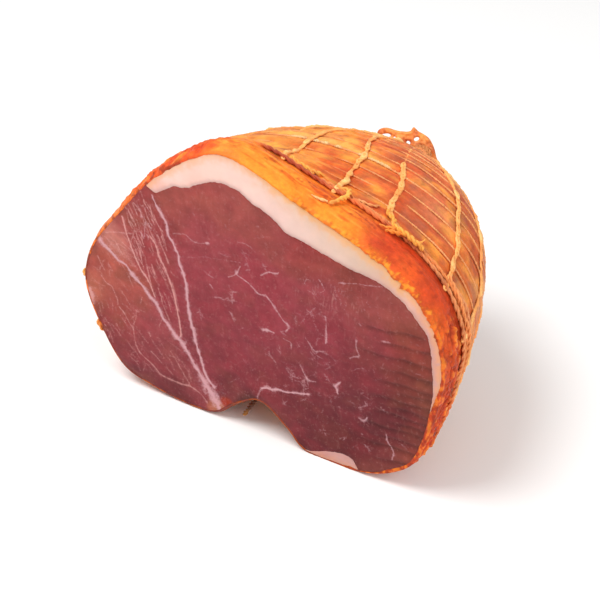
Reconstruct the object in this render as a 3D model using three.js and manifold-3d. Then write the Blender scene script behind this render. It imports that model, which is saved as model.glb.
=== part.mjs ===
// Half of a culatello: the cured heart of a pig's thigh in its casing and net, cut straight across.
// Millimetres, +Z up. While the pieces are made the cut lies in the plane y = 0 and faces -Y, the tail
// points to +Y and x = 0 is the middle of the cut. The group is then moved so that the middle of its
// bounding box stands over the origin.
import * as THREE from 'three';
import { LoftGeometry } from 'three/addons/geometries/LoftGeometry.js';
import { mergeVertices } from 'three/addons/utils/BufferGeometryUtils.js';
import Module from 'manifold-3d';

const { DEG2RAD, clamp, lerp, smoothstep } = THREE.MathUtils;
const TURN = 360;

// ---- the form: rim of the cut, and how it closes towards the tail -----------------------------
// (x, z) round the cut, clockwise from its left edge: over the top, down the right lobe, through the
// notch between the two muscles and along the left lobe.
const RIM = [
  [-96, 53], [-90, 75], [-72, 100], [-53, 122.5], [-38, 135], [-21, 145], [-8, 146.5],
  [6, 142], [22, 135], [50, 124.5], [67, 116.5], [81, 105.5], [91, 91], [95.5, 73],
  [93, 50], [84, 18], [73, 7], [56, 0], [27, 0], [17, 9.5], [3, 19],
  [-11, 11.5], [-22, 2], [-34, 0], [-60, 3], [-76, 8.5], [-88, 27],
];
const HEART = { x: 0, z: 72 };          // middle of the cut, about which its outline is measured
const TAIL = { x: 20.5, z: 100 };       // where the tail is tied
const LENGTH = 118;                     // cut to tail
const ROUND = { width: 90, top: 51, bottom: 100 };   // half axes of the section once the notch has gone
const ROUNDING = { start: 0.05, end: 0.44 };         // part of the length in which the outline gets round
const TAPER = { bluntness: 3.25, nose: 1.19, tip: 0.08 };
const DRIFT = { x: 2.5, z: 1.55 };      // how late the section's middle moves towards the tail

// ---- the casing: a lip in front of the net, a groove under its tight edge, a hem of net behind --
const GROOVE_AT = 14;                   // mean distance of the groove from the cut
const GROOVE_SLANT = { shift: 2, swing: 5, towards: 60 };    // further back on the upper right than on the left
const GROOVE_END = 17;                  // where the casing has come up out of it again
const GROOVE_REACH = 40;                // where the slant has died out
const RELIEF = [[0, -0.9], [1, 0], [5, 0.9], [9, 0.6], [11.5, -1.1], [14, -1.8], [17, -1.3], [22, -1]];
const FLOOR_LIFT = [[0, 0], [10.5, 0], [14, 4], [17, 2.5], [22, 2.4]];   // room for the net below
const FLOOR_FILLET = { reach: 9, from: 14, to: 26 };  // the flat underside rounds into the sides
const CRAG = { height: 0.7, from: -55, to: 35, waves: [23, 41, 67] };      // torn, crumbly stretch of lip
const MEAT_COLUMNS = 64;
const MEAT_ROWS = [0, 1, 5, 9, 11, 14, 17, 23, 33, 44, 55, 66, 76, 85, 93, 100, 106, 111, 115, LENGTH];

// ---- fat: layers under the casing, open at the cut, [distance along the rim, depth under it] ----
const GAP = 0.32;                       // left between solids that touch
const FAT_CAP = {
  depth: [[82, 6.5], [90, 8], [98, 11.4], [110, 12.4], [121, 14.4], [139, 15.5], [153, 16.6],
    [162, 16], [169, 18], [179, 17], [200, 14.7], [210, 12.3], [219, 9.6], [231, 7.6],
    [252, 5.7], [272, 6.2], [284, 4.2], [295, 3]],
  columns: 26, under: 1.4, length: 92,
};
const UNDERSIDE_FAT = {
  depth: [[361.5, 3.6], [363, 7.3], [369, 8.7], [378, 7.6], [388, 2.9]],
  columns: 6, under: 1.9, length: 46,
};
const LAYER_ROWS = 5;
const LAYER_SINK = { by: 2.9, from: 2, to: 10 };     // deeper where the groove and the net press in

// ---- the net --------------------------------------------------------------------------------------
const NET = { clear: 0.55, chainWidth: 2, chainHeight: 1.7, threadWidth: 0.8, threadHeight: 0.8 };
const THREADS = { count: 12, first: 24, step: 10, shrink: 0.26 };    // threads round the body
const CHAINS = 17;                      // knitted chains from the tight edge to the tail
const FIRST_CHAIN = 86;                 // degrees round the heart, 0 to the right, 90 on top
const LEAN = 15;                        // degrees that a chain turns on its way to the tail
const SEEN_CHAINS = [                   // the five in view, [distance from the cut, degrees]
  [[20, 86], [34, 92], [48, 97], [60, 101], [95, 110]],
  [[20, 63], [34, 63], [49, 66], [62, 68], [88, 83]],
  [[20, 37], [24, 39], [30, 43], [44, 44], [54, 45], [68, 50], [95, 55]],
  [[19, 18], [30, 19], [45, 19], [57, 22], [75, 24], [95, 29]],
  [[18, 3], [30, 4], [47, 4], [57, 9], [75, 11]],
];
const STEEPEST_BEND = 15;               // degrees that one flat of a thread may turn
const EDGE = { radius: 1.5, clear: 0.9, sides: 5 };
const LOOSE_ENDS = [                    // [distance from the cut, degrees, height over the casing]
  { radius: 1.1, path: [[20.5, 58, 1.9], [17, 58.5, 2.1], [13.5, 59.5, 2], [10, 61, 1.8]] },
  { radius: 1.3, path: [[20.5, 38, 2.4], [19.3, 34, 3.2], [19, 31.5, 4.6], [18.5, 30.5, 6.5]] },
  { radius: 1.1, path: [[9, -88, 2.2], [6, -90, 2.6], [5, -92, 5], [4.6, -95.5, 9]] },
];
const COLLAR = {                        // neck as [distance from the cut, radius]
  from: 110, rows: [110, 113, 115.5, LENGTH], columns: 20, inside: 0.8, outside: 2.6,
  neck: [[119.5, 7], [122, 5.5], [124.5, 5.2]],
};
// The gathered end of the net stands up as a web: its edge as [degrees, distance from the tail] and its
// holes as [degrees, distance, length, height].
const WEB = {
  edge: [[-25, 11.3], [0, 9.2], [30, 9.2], [60, 10.8], [88, 12.6], [98, 14.6], [106, 13.2],
    [123, 15], [137, 21], [146, 23.3], [153, 22], [156, 14], [170, 5], [230, 3], [290, 4]],
  holes: [[145, 18.2, 4, 2.2], [143, 13.6, 1.7, 1.5], [120, 8, 2, 1.7], [93, 9.3, 2.5, 1.7],
    [62, 6.4, 1.8, 1.7], [22, 6.3, 2.2, 1.8]],
  thick: 2.2, lean: 35, turn: 31, behind: 4.2,
};

const wasm = await Module();
wasm.setup();

// Value at a place among stations [place, value], level past both ends.
function along(stations, place) {
  const at = clamp(place, stations[0][0], stations.at(-1)[0]);
  const next = Math.max(1, stations.findIndex(([p]) => p >= at));
  const [[p0, v0], [p1, v1]] = [stations[next - 1], stations[next]];
  return lerp(v0, v1, (at - p0) / (p1 - p0));
}

const rim = new THREE.CatmullRomCurve3(RIM.map(([x, z]) => new THREE.Vector3(x, 0, z)), true, 'centripetal');
rim.arcLengthDivisions = 20 * RIM.length;
const RIM_LENGTH = rim.getLength();

// Degrees round the heart of the rim's point at u, where u runs from 0 to 1 round the rim.
function degreesOf(u) {
  const p = rim.getPointAt(THREE.MathUtils.euclideanModulo(u, 1));
  return Math.atan2(p.z - HEART.z, p.x - HEART.x) / DEG2RAD;
}

// The rim's u at some degrees round the heart, found by halving.
function rimAt(degrees) {
  const start = degreesOf(0);
  const sweep = THREE.MathUtils.euclideanModulo(start - degrees, TURN);
  let [low, high] = [0, 1];
  for (let halving = 0; halving < 24; halving++) {
    const middle = (low + high) / 2;
    const swept = THREE.MathUtils.euclideanModulo(start - degreesOf(middle), TURN);
    if (swept < sweep) low = middle;
    else high = middle;
  }
  return low;
}

// A point of the smooth form: u round the section, y from the cut.
function formPoint(u, y) {
  const t = clamp(y / LENGTH, 0, 1);
  const p = rim.getPointAt(THREE.MathUtils.euclideanModulo(u, 1));
  const rel = new THREE.Vector2(p.x - HEART.x, p.z - HEART.z);
  const angle = rel.angle();
  const flat = Math.sin(angle) > 0 ? ROUND.top : ROUND.bottom;
  const radius = 1 / Math.hypot(Math.cos(angle) / ROUND.width, Math.sin(angle) / flat);
  const round = new THREE.Vector2(radius * Math.cos(angle), radius * Math.sin(angle));
  rel.lerp(round, smoothstep(t, ROUNDING.start, ROUNDING.end));
  rel.multiplyScalar((1 - t ** TAPER.bluntness) ** TAPER.nose + TAPER.tip * t);
  return new THREE.Vector3(
    lerp(HEART.x, TAIL.x, t ** DRIFT.x) + rel.x, y, lerp(HEART.z, TAIL.z, t ** DRIFT.z) + rel.y);
}

// Direction out of the section, within its plane.
function sideways(u, y) {
  const step = 1 / 400;
  const tangent = formPoint(u + step, y).sub(formPoint(u - step, y));
  return new THREE.Vector3(-tangent.z, 0, tangent.x).normalize();
}

// Distance from the cut of a row whose place before the groove's slant is s.
function rowDepth(s, u) {
  const slant = GROOVE_SLANT.shift
    + GROOVE_SLANT.swing * Math.cos((degreesOf(u) - GROOVE_SLANT.towards) * DEG2RAD);
  const share = s < GROOVE_AT ? s / GROOVE_AT
    : Math.max(0, (GROOVE_REACH - s) / (GROOVE_REACH - GROOVE_AT)) ** 2;
  return s + slant * share;
}

// The row that lies at distance y from the cut, found by halving.
function rowAt(y, u) {
  let [low, high] = [0, LENGTH];
  for (let halving = 0; halving < 24; halving++) {
    const middle = (low + high) / 2;
    if (rowDepth(middle, u) < y) low = middle;
    else high = middle;
  }
  return low;
}

// Crumbly stretch of the lip: uneven waves that die out at its ends, at the cut and at the groove.
function crag(s, degrees) {
  const across = smoothstep(degrees, CRAG.from, CRAG.from + 15) * (1 - smoothstep(degrees, CRAG.to - 15, CRAG.to));
  const back = Math.sin(Math.PI * clamp(s / (GROOVE_AT - 2), 0, 1));
  const wave = CRAG.waves.reduce((sum, w, i) => sum + Math.sin(degrees * DEG2RAD * w + i + s), 0);
  return CRAG.height * across * back * wave / CRAG.waves.length;
}

// A point of the casing, s being its row.
function skinPoint(u, s) {
  const y = rowDepth(s, u);
  const out = along(RELIEF, s) + crag(s, degreesOf(u));
  const p = formPoint(u, y).addScaledVector(sideways(u, y), out);
  const floor = along(FLOOR_LIFT, s);
  const soft = FLOOR_FILLET.reach * smoothstep(s, FLOOR_FILLET.from, FLOOR_FILLET.to);
  const near = Math.max(0, soft - Math.abs(p.z - floor));
  p.z = Math.max(p.z, floor) + (near > 0 ? (near * near) / (4 * soft) : 0);
  return p;
}

// Directions at a point of the casing: along the section, and out of the casing.
function directions(u, s) {
  const [du, ds] = [1 / 300, 0.6];
  const back = Math.min(s + ds, LENGTH);
  const tangent = skinPoint(u + du, s).sub(skinPoint(u - du, s)).normalize();
  const depth = skinPoint(u, back).sub(skinPoint(u, back - 2 * ds));
  return { tangent, normal: tangent.clone().cross(depth).normalize() };
}

// A point over the casing: height along its normal, side along the section.
function over(u, s, height, side = 0) {
  const { tangent, normal } = directions(u, s);
  const p = skinPoint(u, s).addScaledVector(normal, height).addScaledVector(tangent, side);
  p.z = Math.max(p.z, 0);
  return p;
}

// Degrees by which the casing turns between two places of one section.
function bendBetween(u, sweep, y) {
  const samples = [0, 0.25, 0.5, 0.75, 1].map((f) => directions(u + f * sweep, rowAt(y, u)).normal);
  return samples.slice(1).reduce((sum, normal, i) => sum + normal.angleTo(samples[i]), 0) / DEG2RAD;
}

// ---- solids -----------------------------------------------------------------------------------------
function solid(geometry) {
  const bare = geometry.index ? geometry.toNonIndexed() : geometry.clone();
  bare.deleteAttribute('normal');
  bare.deleteAttribute('uv');
  const merged = mergeVertices(bare, 1e-3);
  return new wasm.Manifold(new wasm.Mesh({
    numProp: 3,
    vertProperties: merged.attributes.position.array,
    triVerts: new Uint32Array(merged.index.array),
  }));
}

function named(name, manifold, material) {
  const { vertProperties, triVerts } = manifold.getMesh();
  const geometry = new THREE.BufferGeometry();
  geometry.setAttribute('position', new THREE.BufferAttribute(vertProperties, 3));
  geometry.setIndex(new THREE.BufferAttribute(triVerts, 1));
  geometry.computeVertexNormals();
  const mesh = new THREE.Mesh(geometry, new THREE.MeshStandardMaterial(material));
  mesh.name = name;
  return mesh;
}

function loft(sections) {
  return solid(new LoftGeometry(sections, { capStart: true, capEnd: true }));
}

// ---- meat: lean muscle with its casing, one piece ---------------------------------------------------
function meatBody() {
  const columns = Array.from({ length: MEAT_COLUMNS }, (_, j) => j / MEAT_COLUMNS);
  return loft(MEAT_ROWS.map((s) => columns.map((u) => skinPoint(u, s))));
}

// ---- fat layers: the same sections make the layer and, grown by the gap, its pocket in the meat -----
function fatLayer(layer, grow = 0) {
  const [from, to] = [layer.depth[0][0] - grow, layer.depth.at(-1)[0] + grow];
  const places = Array.from({ length: layer.columns + 1 }, (_, j) => lerp(from, to, j / layer.columns));
  const rows = Array.from({ length: LAYER_ROWS + 1 }, (_, i) => i / LAYER_ROWS);
  const sections = rows.map((t) => {
    const y = t * (layer.length + grow);
    const top = layer.under + LAYER_SINK.by * smoothstep(y, LAYER_SINK.from, LAYER_SINK.to);
    const thinning = Math.sqrt(1 - 0.96 * t * t);
    const inside = (place, depth) => {
      const u = place / RIM_LENGTH;
      const p = formPoint(u, y);
      p.z = Math.max(p.z, 0);
      return p.addScaledVector(sideways(u, y), -depth);
    };
    const upper = places.map((place) => inside(place, top - grow));
    const lower = places.map((place) => {
      const thick = Math.max(0.5, along(layer.depth, place) - layer.under) * thinning;
      return inside(place, top + thick + grow);
    });
    return [...upper, ...lower.reverse()];
  });
  if (grow > 0) sections.unshift(sections[0].map((p) => p.clone().setY(-1)));
  return loft(sections);
}

// ---- net: chains and threads as one closed mesh, whose crossings share their corners ----------------
function netMesh() {
  const corners = [];
  const quads = [];
  const quad = (a, b, c, d) => quads.push(a, b, c, a, c, d);
  const corner = (p) => corners.push(p) - 1;
  const threadAt = (i) => THREADS.first + THREADS.step * i - THREADS.shrink * i * i;
  const chainDegrees = (c, y) => {
    if (c < SEEN_CHAINS.length) return along(SEEN_CHAINS[c], y);
    const front = FIRST_CHAIN - (c * TURN) / CHAINS;
    return front + LEAN * smoothstep(y, 20, 90);
  };
  const chainPlace = (c, y) => rimAt(chainDegrees(c, y));
  const { clear, chainWidth, chainHeight, threadWidth, threadHeight } = NET;

  // One cross-section of a chain: bottom left, top left, top right, bottom right.
  const chainSection = (c, y) => {
    const u = chainPlace(c, y);
    const s = rowAt(y, u);
    return [[0, -1], [1, -0.7], [1, 0.7], [0, 1]].map(([up, side]) =>
      corner(over(u, s, clear + up * chainHeight, side * chainWidth / 2)));
  };
  const chains = Array.from({ length: CHAINS }, (_, c) => {
    const stations = [GROOVE_AT, GROOVE_END].map((s) => rowDepth(s, chainPlace(c, s)));
    for (let i = 0; i < THREADS.count; i++) {
      stations.push(threadAt(i) - threadWidth / 2, threadAt(i) + threadWidth / 2);
    }
    stations.push(lerp(threadAt(THREADS.count - 1), COLLAR.from, 0.6), COLLAR.from + 2.5);
    return stations.map((y) => chainSection(c, y));
  });

  const lead = 2;                       // stations in front of the first thread
  for (const sections of chains) {
    sections.slice(1).forEach((next, k) => {
      const last = sections[k];
      const crossing = k >= lead && k < lead + 2 * THREADS.count && (k - lead) % 2 === 0;
      quad(last[1], last[2], next[2], next[1]);
      quad(last[3], last[0], next[0], next[3]);
      if (crossing) return;
      quad(last[0], last[1], next[1], next[0]);
      quad(last[2], last[3], next[3], next[2]);
    });
    const [head, end] = [sections[0], sections.at(-1)];
    quad(head[3], head[2], head[1], head[0]);
    quad(end[0], end[1], end[2], end[3]);
  }

  // A thread runs from the right side of each chain to the left side of the next one.
  for (let i = 0; i < THREADS.count; i++) {
    for (let c = 0; c < CHAINS; c++) {
      const [front, back] = [chains[c][lead + 2 * i], chains[c][lead + 2 * i + 1]];
      const after = chains[(c + 1) % CHAINS];
      const [nextFront, nextBack] = [after[lead + 2 * i], after[lead + 2 * i + 1]];
      const y = threadAt(i);
      const from = chainPlace(c, y);
      const sweep = THREE.MathUtils.euclideanModulo(chainPlace((c + 1) % CHAINS, y) - from, 1);
      const pieces = Math.max(2, Math.ceil(bendBetween(from, sweep, y) / STEEPEST_BEND));
      let loop = [front[3], front[2], back[2], back[3]];
      for (let k = 1; k <= pieces; k++) {
        const u = from + (sweep * k) / pieces;
        const section = k === pieces ? [nextFront[0], nextFront[1], nextBack[1], nextBack[0]]
          : [[0, -0.5], [1, -0.5], [1, 0.5], [0, 0.5]].map(([up, back_]) =>
            corner(over(u, rowAt(y + back_ * threadWidth, u), clear + 0.2 + up * threadHeight)));
        for (let e = 0; e < 4; e++) {
          const f = (e + 1) % 4;
          quad(loop[f], loop[e], section[e], section[f]);
        }
        loop = section;
      }
    }
  }
  const geometry = new THREE.BufferGeometry().setFromPoints(corners);
  geometry.setIndex(quads);
  return solid(geometry);
}

// Tight front edge of the net, lying in the groove.
function netEdge() {
  const stops = Array.from({ length: MEAT_COLUMNS }, (_, j) =>
    over(j / MEAT_COLUMNS, GROOVE_AT, EDGE.radius + EDGE.clear));
  const path = new THREE.CatmullRomCurve3(stops, true);
  return solid(new THREE.TubeGeometry(path, MEAT_COLUMNS, EDGE.radius, EDGE.sides, true));
}

function looseEnd({ radius, path }) {
  const stops = path.map(([y, degrees, height]) => {
    const u = rimAt(degrees);
    return over(u, rowAt(y, u), height);
  });
  const section = new THREE.Shape().absarc(0, 0, radius, 0, 2 * Math.PI);
  return solid(new THREE.ExtrudeGeometry(section, {
    curveSegments: 3, steps: 2 * path.length, extrudePath: new THREE.CatmullRomCurve3(stops),
  }));
}

// The net is gathered over the tail: a collar round the meat, then a short neck.
function collar() {
  const columns = Array.from({ length: COLLAR.columns }, (_, j) => j / COLLAR.columns);
  const shell = (height) => COLLAR.rows.map((s) => columns.map((u) => over(u, s, height)));
  const outside = shell(COLLAR.outside);
  for (const [y, radius] of COLLAR.neck) {
    outside.push(columns.map((u) => {
      const out = sideways(u, LENGTH - 1);
      return new THREE.Vector3(TAIL.x + radius * out.x, y, TAIL.z + radius * out.z);
    }));
  }
  const inside = shell(COLLAR.inside);
  inside.unshift(inside[0].map((p) => p.clone().setY(p.y - 3)));
  inside.push(inside.at(-1).map((p) => p.clone().setY(LENGTH + COLLAR.inside)));
  return loft(outside).subtract(loft(inside));
}

function web() {
  const polar = ([degrees, distance]) => new THREE.Vector2(
    distance * Math.cos(degrees * DEG2RAD), distance * Math.sin(degrees * DEG2RAD));
  const shape = new THREE.Shape(WEB.edge.map(polar));
  for (const [degrees, distance, length, height] of WEB.holes) {
    const middle = polar([degrees, distance]);
    const hole = new THREE.Path();
    hole.absellipse(middle.x, middle.y, length / 2, height / 2, 0, 2 * Math.PI, true);
    shape.holes.push(hole);
  }
  const sheet = new THREE.ExtrudeGeometry(shape, { depth: WEB.thick, bevelEnabled: false, curveSegments: 3 });
  sheet.translate(0, 0, -WEB.thick / 2);
  sheet.rotateX((90 - WEB.lean) * DEG2RAD);
  sheet.rotateZ(WEB.turn * DEG2RAD);
  sheet.translate(TAIL.x, LENGTH + WEB.behind, TAIL.z);
  return solid(sheet);
}

// The casing grown by the gap, which keeps the net's loose pieces clear of it.
function clearance() {
  const columns = Array.from({ length: MEAT_COLUMNS }, (_, j) => j / MEAT_COLUMNS);
  const sections = MEAT_ROWS.map((s) => columns.map((u) => over(u, s, GAP)));
  sections.unshift(sections[0].map((p) => p.clone().setY(-GAP)));
  sections.push(sections.at(-1).map((p) => p.clone().setY(LENGTH + GAP)));
  return loft(sections);
}

const body = meatBody();
const meat = body.subtract(fatLayer(FAT_CAP, GAP)).subtract(fatLayer(UNDERSIDE_FAT, GAP));
const edging = [netEdge(), ...LOOSE_ENDS.map(looseEnd)].map((piece) => piece.subtract(clearance()));
const net = [collar(), web(), ...edging].reduce((sum, piece) => sum.add(piece), netMesh());

const culatello = new THREE.Group();
culatello.name = 'culatello';
culatello.add(
  named('meat', meat, { color: 0x9a4a4c, roughness: 0.55, metalness: 0 }),
  named('fat_cap', fatLayer(FAT_CAP), { color: 0xf6d6c4, roughness: 0.45, metalness: 0 }),
  named('underside_fat', fatLayer(UNDERSIDE_FAT), { color: 0xe8bfae, roughness: 0.45, metalness: 0 }),
  named('net', net, { color: 0xf2a259, roughness: 0.6, metalness: 0 }),
);
const middle = new THREE.Box3().setFromObject(culatello).getCenter(new THREE.Vector3());
culatello.position.set(-middle.x, -middle.y, 0);

export default culatello;
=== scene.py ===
import math

import bmesh
import bpy
import numpy as np
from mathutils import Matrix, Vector, noise
from mathutils.geometry import delaunay_2d_cdt
from mathutils.kdtree import KDTree


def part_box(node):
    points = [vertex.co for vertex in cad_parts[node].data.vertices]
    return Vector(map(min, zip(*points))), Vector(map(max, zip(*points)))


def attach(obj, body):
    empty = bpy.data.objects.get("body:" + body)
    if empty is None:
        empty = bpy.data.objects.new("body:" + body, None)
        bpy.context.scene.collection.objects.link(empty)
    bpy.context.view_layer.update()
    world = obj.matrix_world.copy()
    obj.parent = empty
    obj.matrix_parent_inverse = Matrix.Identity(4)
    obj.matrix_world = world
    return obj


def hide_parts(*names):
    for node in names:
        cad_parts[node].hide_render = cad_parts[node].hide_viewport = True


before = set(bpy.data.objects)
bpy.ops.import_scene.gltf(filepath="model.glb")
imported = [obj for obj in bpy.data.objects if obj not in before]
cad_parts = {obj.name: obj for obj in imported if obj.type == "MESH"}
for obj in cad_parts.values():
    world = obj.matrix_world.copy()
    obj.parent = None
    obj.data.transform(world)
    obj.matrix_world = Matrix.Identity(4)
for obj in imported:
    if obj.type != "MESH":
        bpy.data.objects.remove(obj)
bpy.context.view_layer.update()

# ---- Lean -------------------------------------------------------------------------------------------
# The cured heart of the thigh, cut straight across: two muscles that meet at a long white seam, with
# fine marbling. It is one body that fills the casing and leaves room for the fat. Lengths are in mm
# in the cut's frame: x across, y back from the cut, z up. Outline and taper are the solid's own.

# The cut's outline as (x, z) and its middle; the middle of the tail's end, and how far back it lies.
RIM = [
    (-96, 53), (-90, 75), (-72, 100), (-53, 122.5), (-38, 135), (-21, 145), (-8, 146.5),
    (6, 142), (22, 135), (50, 124.5), (67, 116.5), (81, 105.5), (91, 91), (95.5, 73),
    (93, 50), (84, 18), (73, 7), (56, 0), (27, 0), (17, 9.5), (3, 19),
    (-11, 11.5), (-22, 2), (-34, 0), (-60, 3), (-76, 8.5), (-88, 27),
]
HEART = np.array([0.0, 72.0])
TAIL = np.array([20.5, 100.0])
LENGTH = 118.0
# By row: height over the smooth form, and lift off the floor. Rows slant round the piece, and the net's
# edge lies in a groove along one of them. Half way back the section is an oval round the middle.
RELIEF = [(0, -0.9), (1, 0), (5, 0.9), (9, 0.6), (11.5, -1.1), (14, -1.8), (17, -1.3), (22, -1)]
FLOOR_LIFT = [(0, 0), (10.5, 0), (14, 4), (17, 2.5), (22, 2.4)]
GROOVE_AT = 14
OVAL_HALF_WIDTH, OVAL_OVER, OVAL_UNDER = 90, 51, 100


def smooth(value, start, end):
    t = np.clip((value - start) / (end - start), 0, 1)
    return t * t * (3 - 2 * t)


def station(stations, place):
    xs, ys = np.array(stations, float).T
    return np.interp(place, xs, ys)


def softened(stations, place, by=0.7):
    return sum(station(stations, place + k * by) for k in (-1, -0.33, 0.33, 1)) / 4


def flowing(knots, closed=False, steps=12):
    """Points of a smooth curve through the knots, of any number of columns."""
    knots = np.array(knots, float)
    if not closed:
        knots = np.vstack([2 * knots[0] - knots[1], knots, 2 * knots[-1] - knots[-2]])
    count = len(knots)
    w = np.linspace(0, 1, steps, endpoint=False)[:, None]
    parts = []
    for i in range(count) if closed else range(1, count - 2):
        p0, p1, p2, p3 = (knots[(i + k) % count] for k in (-1, 0, 1, 2))
        d0, d1, d2 = (max(np.linalg.norm(b - a), 1e-6) ** 0.5 for a, b in ((p0, p1), (p1, p2), (p2, p3)))
        t1 = d1 * ((p1 - p0) / d0 - (p2 - p0) / (d0 + d1) + (p2 - p1) / d1)
        t2 = d1 * ((p2 - p1) / d1 - (p3 - p1) / (d1 + d2) + (p3 - p2) / d2)
        parts.append(p1 + t1 * w + (3 * (p2 - p1) - 2 * t1 - t2) * w ** 2
                     + (2 * (p1 - p2) + t1 + t2) * w ** 3)
    return np.vstack(parts + [knots[:1] if closed else knots[-2:-1]])


outline = flowing(RIM, closed=True, steps=40)
run = np.concatenate([[0], np.cumsum(np.hypot(*np.diff(outline, axis=0).T))])
RIM_LENGTH = run[-1]
turned = np.degrees(np.unwrap(np.arctan2(outline[:, 1] - HEART[1], outline[:, 0] - HEART[0])))


def rim(u):
    at = (u % 1) * RIM_LENGTH
    return np.stack([np.interp(at, run, outline[:, k]) for k in (0, 1)], -1)


def degrees_of(u):
    """Degrees round the heart, 0 to the right and 90 on top, from -180 to 180."""
    return (np.interp((u % 1) * RIM_LENGTH, run, turned) + 180) % 360 - 180


def rim_at(degrees):
    return np.interp((turned[0] - degrees) % 360, turned[0] - turned, run) / RIM_LENGTH


def section(u, y):
    """Point (x, z) of the smooth form: u from 0 to 1 round the section, y from the cut.

    The end is drawn in and a little lower than the solid's, so that the web stands clear over it.
    """
    u, y = np.broadcast_arrays(u, y)
    t = np.clip(y / LENGTH, 0, 1)[..., None]
    rel = rim(u) - HEART
    angle = np.arctan2(rel[..., 1], rel[..., 0])[..., None]
    ray = np.concatenate([np.cos(angle), np.sin(angle)], -1)
    flat = np.where(ray[..., 1] > 0, OVAL_OVER, OVAL_UNDER)
    radius = 1 / np.hypot(ray[..., 0] / OVAL_HALF_WIDTH, ray[..., 1] / flat)[..., None]
    rel = rel + (radius * ray - rel) * smooth(t, 0.05, 0.44)
    rel = rel * ((1 - t ** 3.25) ** 1.19 + 0.08 * t) * (1 - 0.24 * smooth(t, 0.93, 1))
    closing = smooth(t, 0.88, 1) * [0, 1]
    rel = rel * (1 - 0.3 * closing)
    middle = HEART + (TAIL - HEART) * np.concatenate([t ** 2.5, t ** 1.55], -1) - 1.6 * closing
    return middle + rel


def sideways(u, y):
    """Direction out of the section, within its plane."""
    tangent = section(u + 1 / 400, y) - section(u - 1 / 400, y)
    out = np.stack([-tangent[..., 1], tangent[..., 0]], -1)
    return out / np.linalg.norm(out, axis=-1, keepdims=True)


def row_depth(s, u):
    """Distance from the cut of a row that runs at s before it follows the slanted groove."""
    slant = 2 + 5 * np.cos(np.radians(degrees_of(u) - 60))
    share = np.where(s < GROOVE_AT, s / GROOVE_AT, np.maximum(0, (40 - s) / 26) ** 2)
    return s + slant * share


def row_at(y, u):
    low = np.zeros(np.broadcast(y, u).shape)
    high = low + LENGTH
    for halving in range(20):
        middle = (low + high) / 2
        behind = row_depth(middle, u) < y
        low, high = np.where(behind, middle, low), np.where(behind, high, middle)
    return low


def skin(u, s, profile=softened):
    """Point of the casing's outside in row s."""
    u, s = np.broadcast_arrays(np.asarray(u, float), np.asarray(s, float))
    y = row_depth(s, u)
    flat = section(u, y) + sideways(u, y) * profile(RELIEF, s)[..., None]
    floor = profile(FLOOR_LIFT, s)
    soft = 9 * smooth(s, 14, 26)
    near = np.maximum(0, soft - np.abs(flat[..., 1] - floor))
    height = np.maximum(flat[..., 1], floor) + near ** 2 / (4 * np.maximum(soft, 1e-6))
    return np.stack([flat[..., 0], y, height], -1)


def directions(u, s):
    """Unit directions at a point of the casing: along the section, and out of the casing."""
    back = np.minimum(s + 0.6, LENGTH)
    tangent = skin(u + 1 / 300, s) - skin(u - 1 / 300, s)
    tangent = tangent / np.linalg.norm(tangent, axis=-1, keepdims=True)
    normal = np.cross(tangent, skin(u, back) - skin(u, back - 1.2))
    return tangent, normal / np.linalg.norm(normal, axis=-1, keepdims=True)


def over(u, s, height, side=0.0, low=0.0):
    """Points over the casing, height along its normal and side round it, none lower than low."""
    tangent, normal = directions(u, s)
    p = skin(u, s) + normal * np.asarray(height)[..., None] + tangent * np.asarray(side)[..., None]
    p[..., 2] = np.maximum(p[..., 2], low)
    return p


# From the cut's frame to the solids': the left edge and the face of the cut are the same in both.
SOLID_COLUMNS, SOLID_ROWS = 64, np.array([0, 1, 5, 9, 11, 14, 17, 23])
left = skin(np.arange(SOLID_COLUMNS)[None] / SOLID_COLUMNS, SOLID_ROWS[:, None], station)[..., 0].min()
low_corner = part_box("meat")[0]
SHIFT = np.array([low_corner.x * 1000 - left, low_corner.y * 1000, 0])


def linear(hex_colour):
    """sRGB hex to linear RGBA."""
    srgb = [int(hex_colour[i:i + 2], 16) / 255 for i in (1, 3, 5)]
    return [c / 12.92 if c <= 0.04045 else ((c + 0.055) / 1.055) ** 2.4 for c in srgb] + [1.0]


def ripple(points, size, seed=0.0, octaves=1):
    """Smooth noise of about -1 to 1 whose waves are size mm long, size being a number or one per axis."""
    shaped = np.asarray(points, float) / np.asarray(size, float) + seed * 7.31
    if shaped.shape[-1] == 2:
        shaped = np.concatenate([shaped, np.full(shaped.shape[:-1] + (1,), seed)], -1)
    flat = shaped.reshape(-1, 3).tolist()
    if octaves == 1:
        values = [noise.noise(p) for p in flat]
    else:
        values = [noise.fractal(p, 1.0, 2.1, octaves) for p in flat]
    return 1.6 * np.array(values).reshape(shaped.shape[:-1])


def patchwork(points, patches, sharpness=1.0):
    """Colour of each point from soft patches (x, y, reach, hex), the nearer the stronger."""
    total = np.zeros(points.shape[:-1] + (1,)) + 1e-9
    mixed = np.zeros(points.shape[:-1] + (3,))
    for x, y, extent, hex_colour in patches:
        apart = np.hypot(points[..., 0] - x, points[..., 1] - y) / extent
        weight = np.exp(-(apart ** 2) * sharpness)[..., None] + 1e-7
        total += weight
        mixed += weight * np.array(linear(hex_colour)[:3])
    return mixed / total


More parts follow.
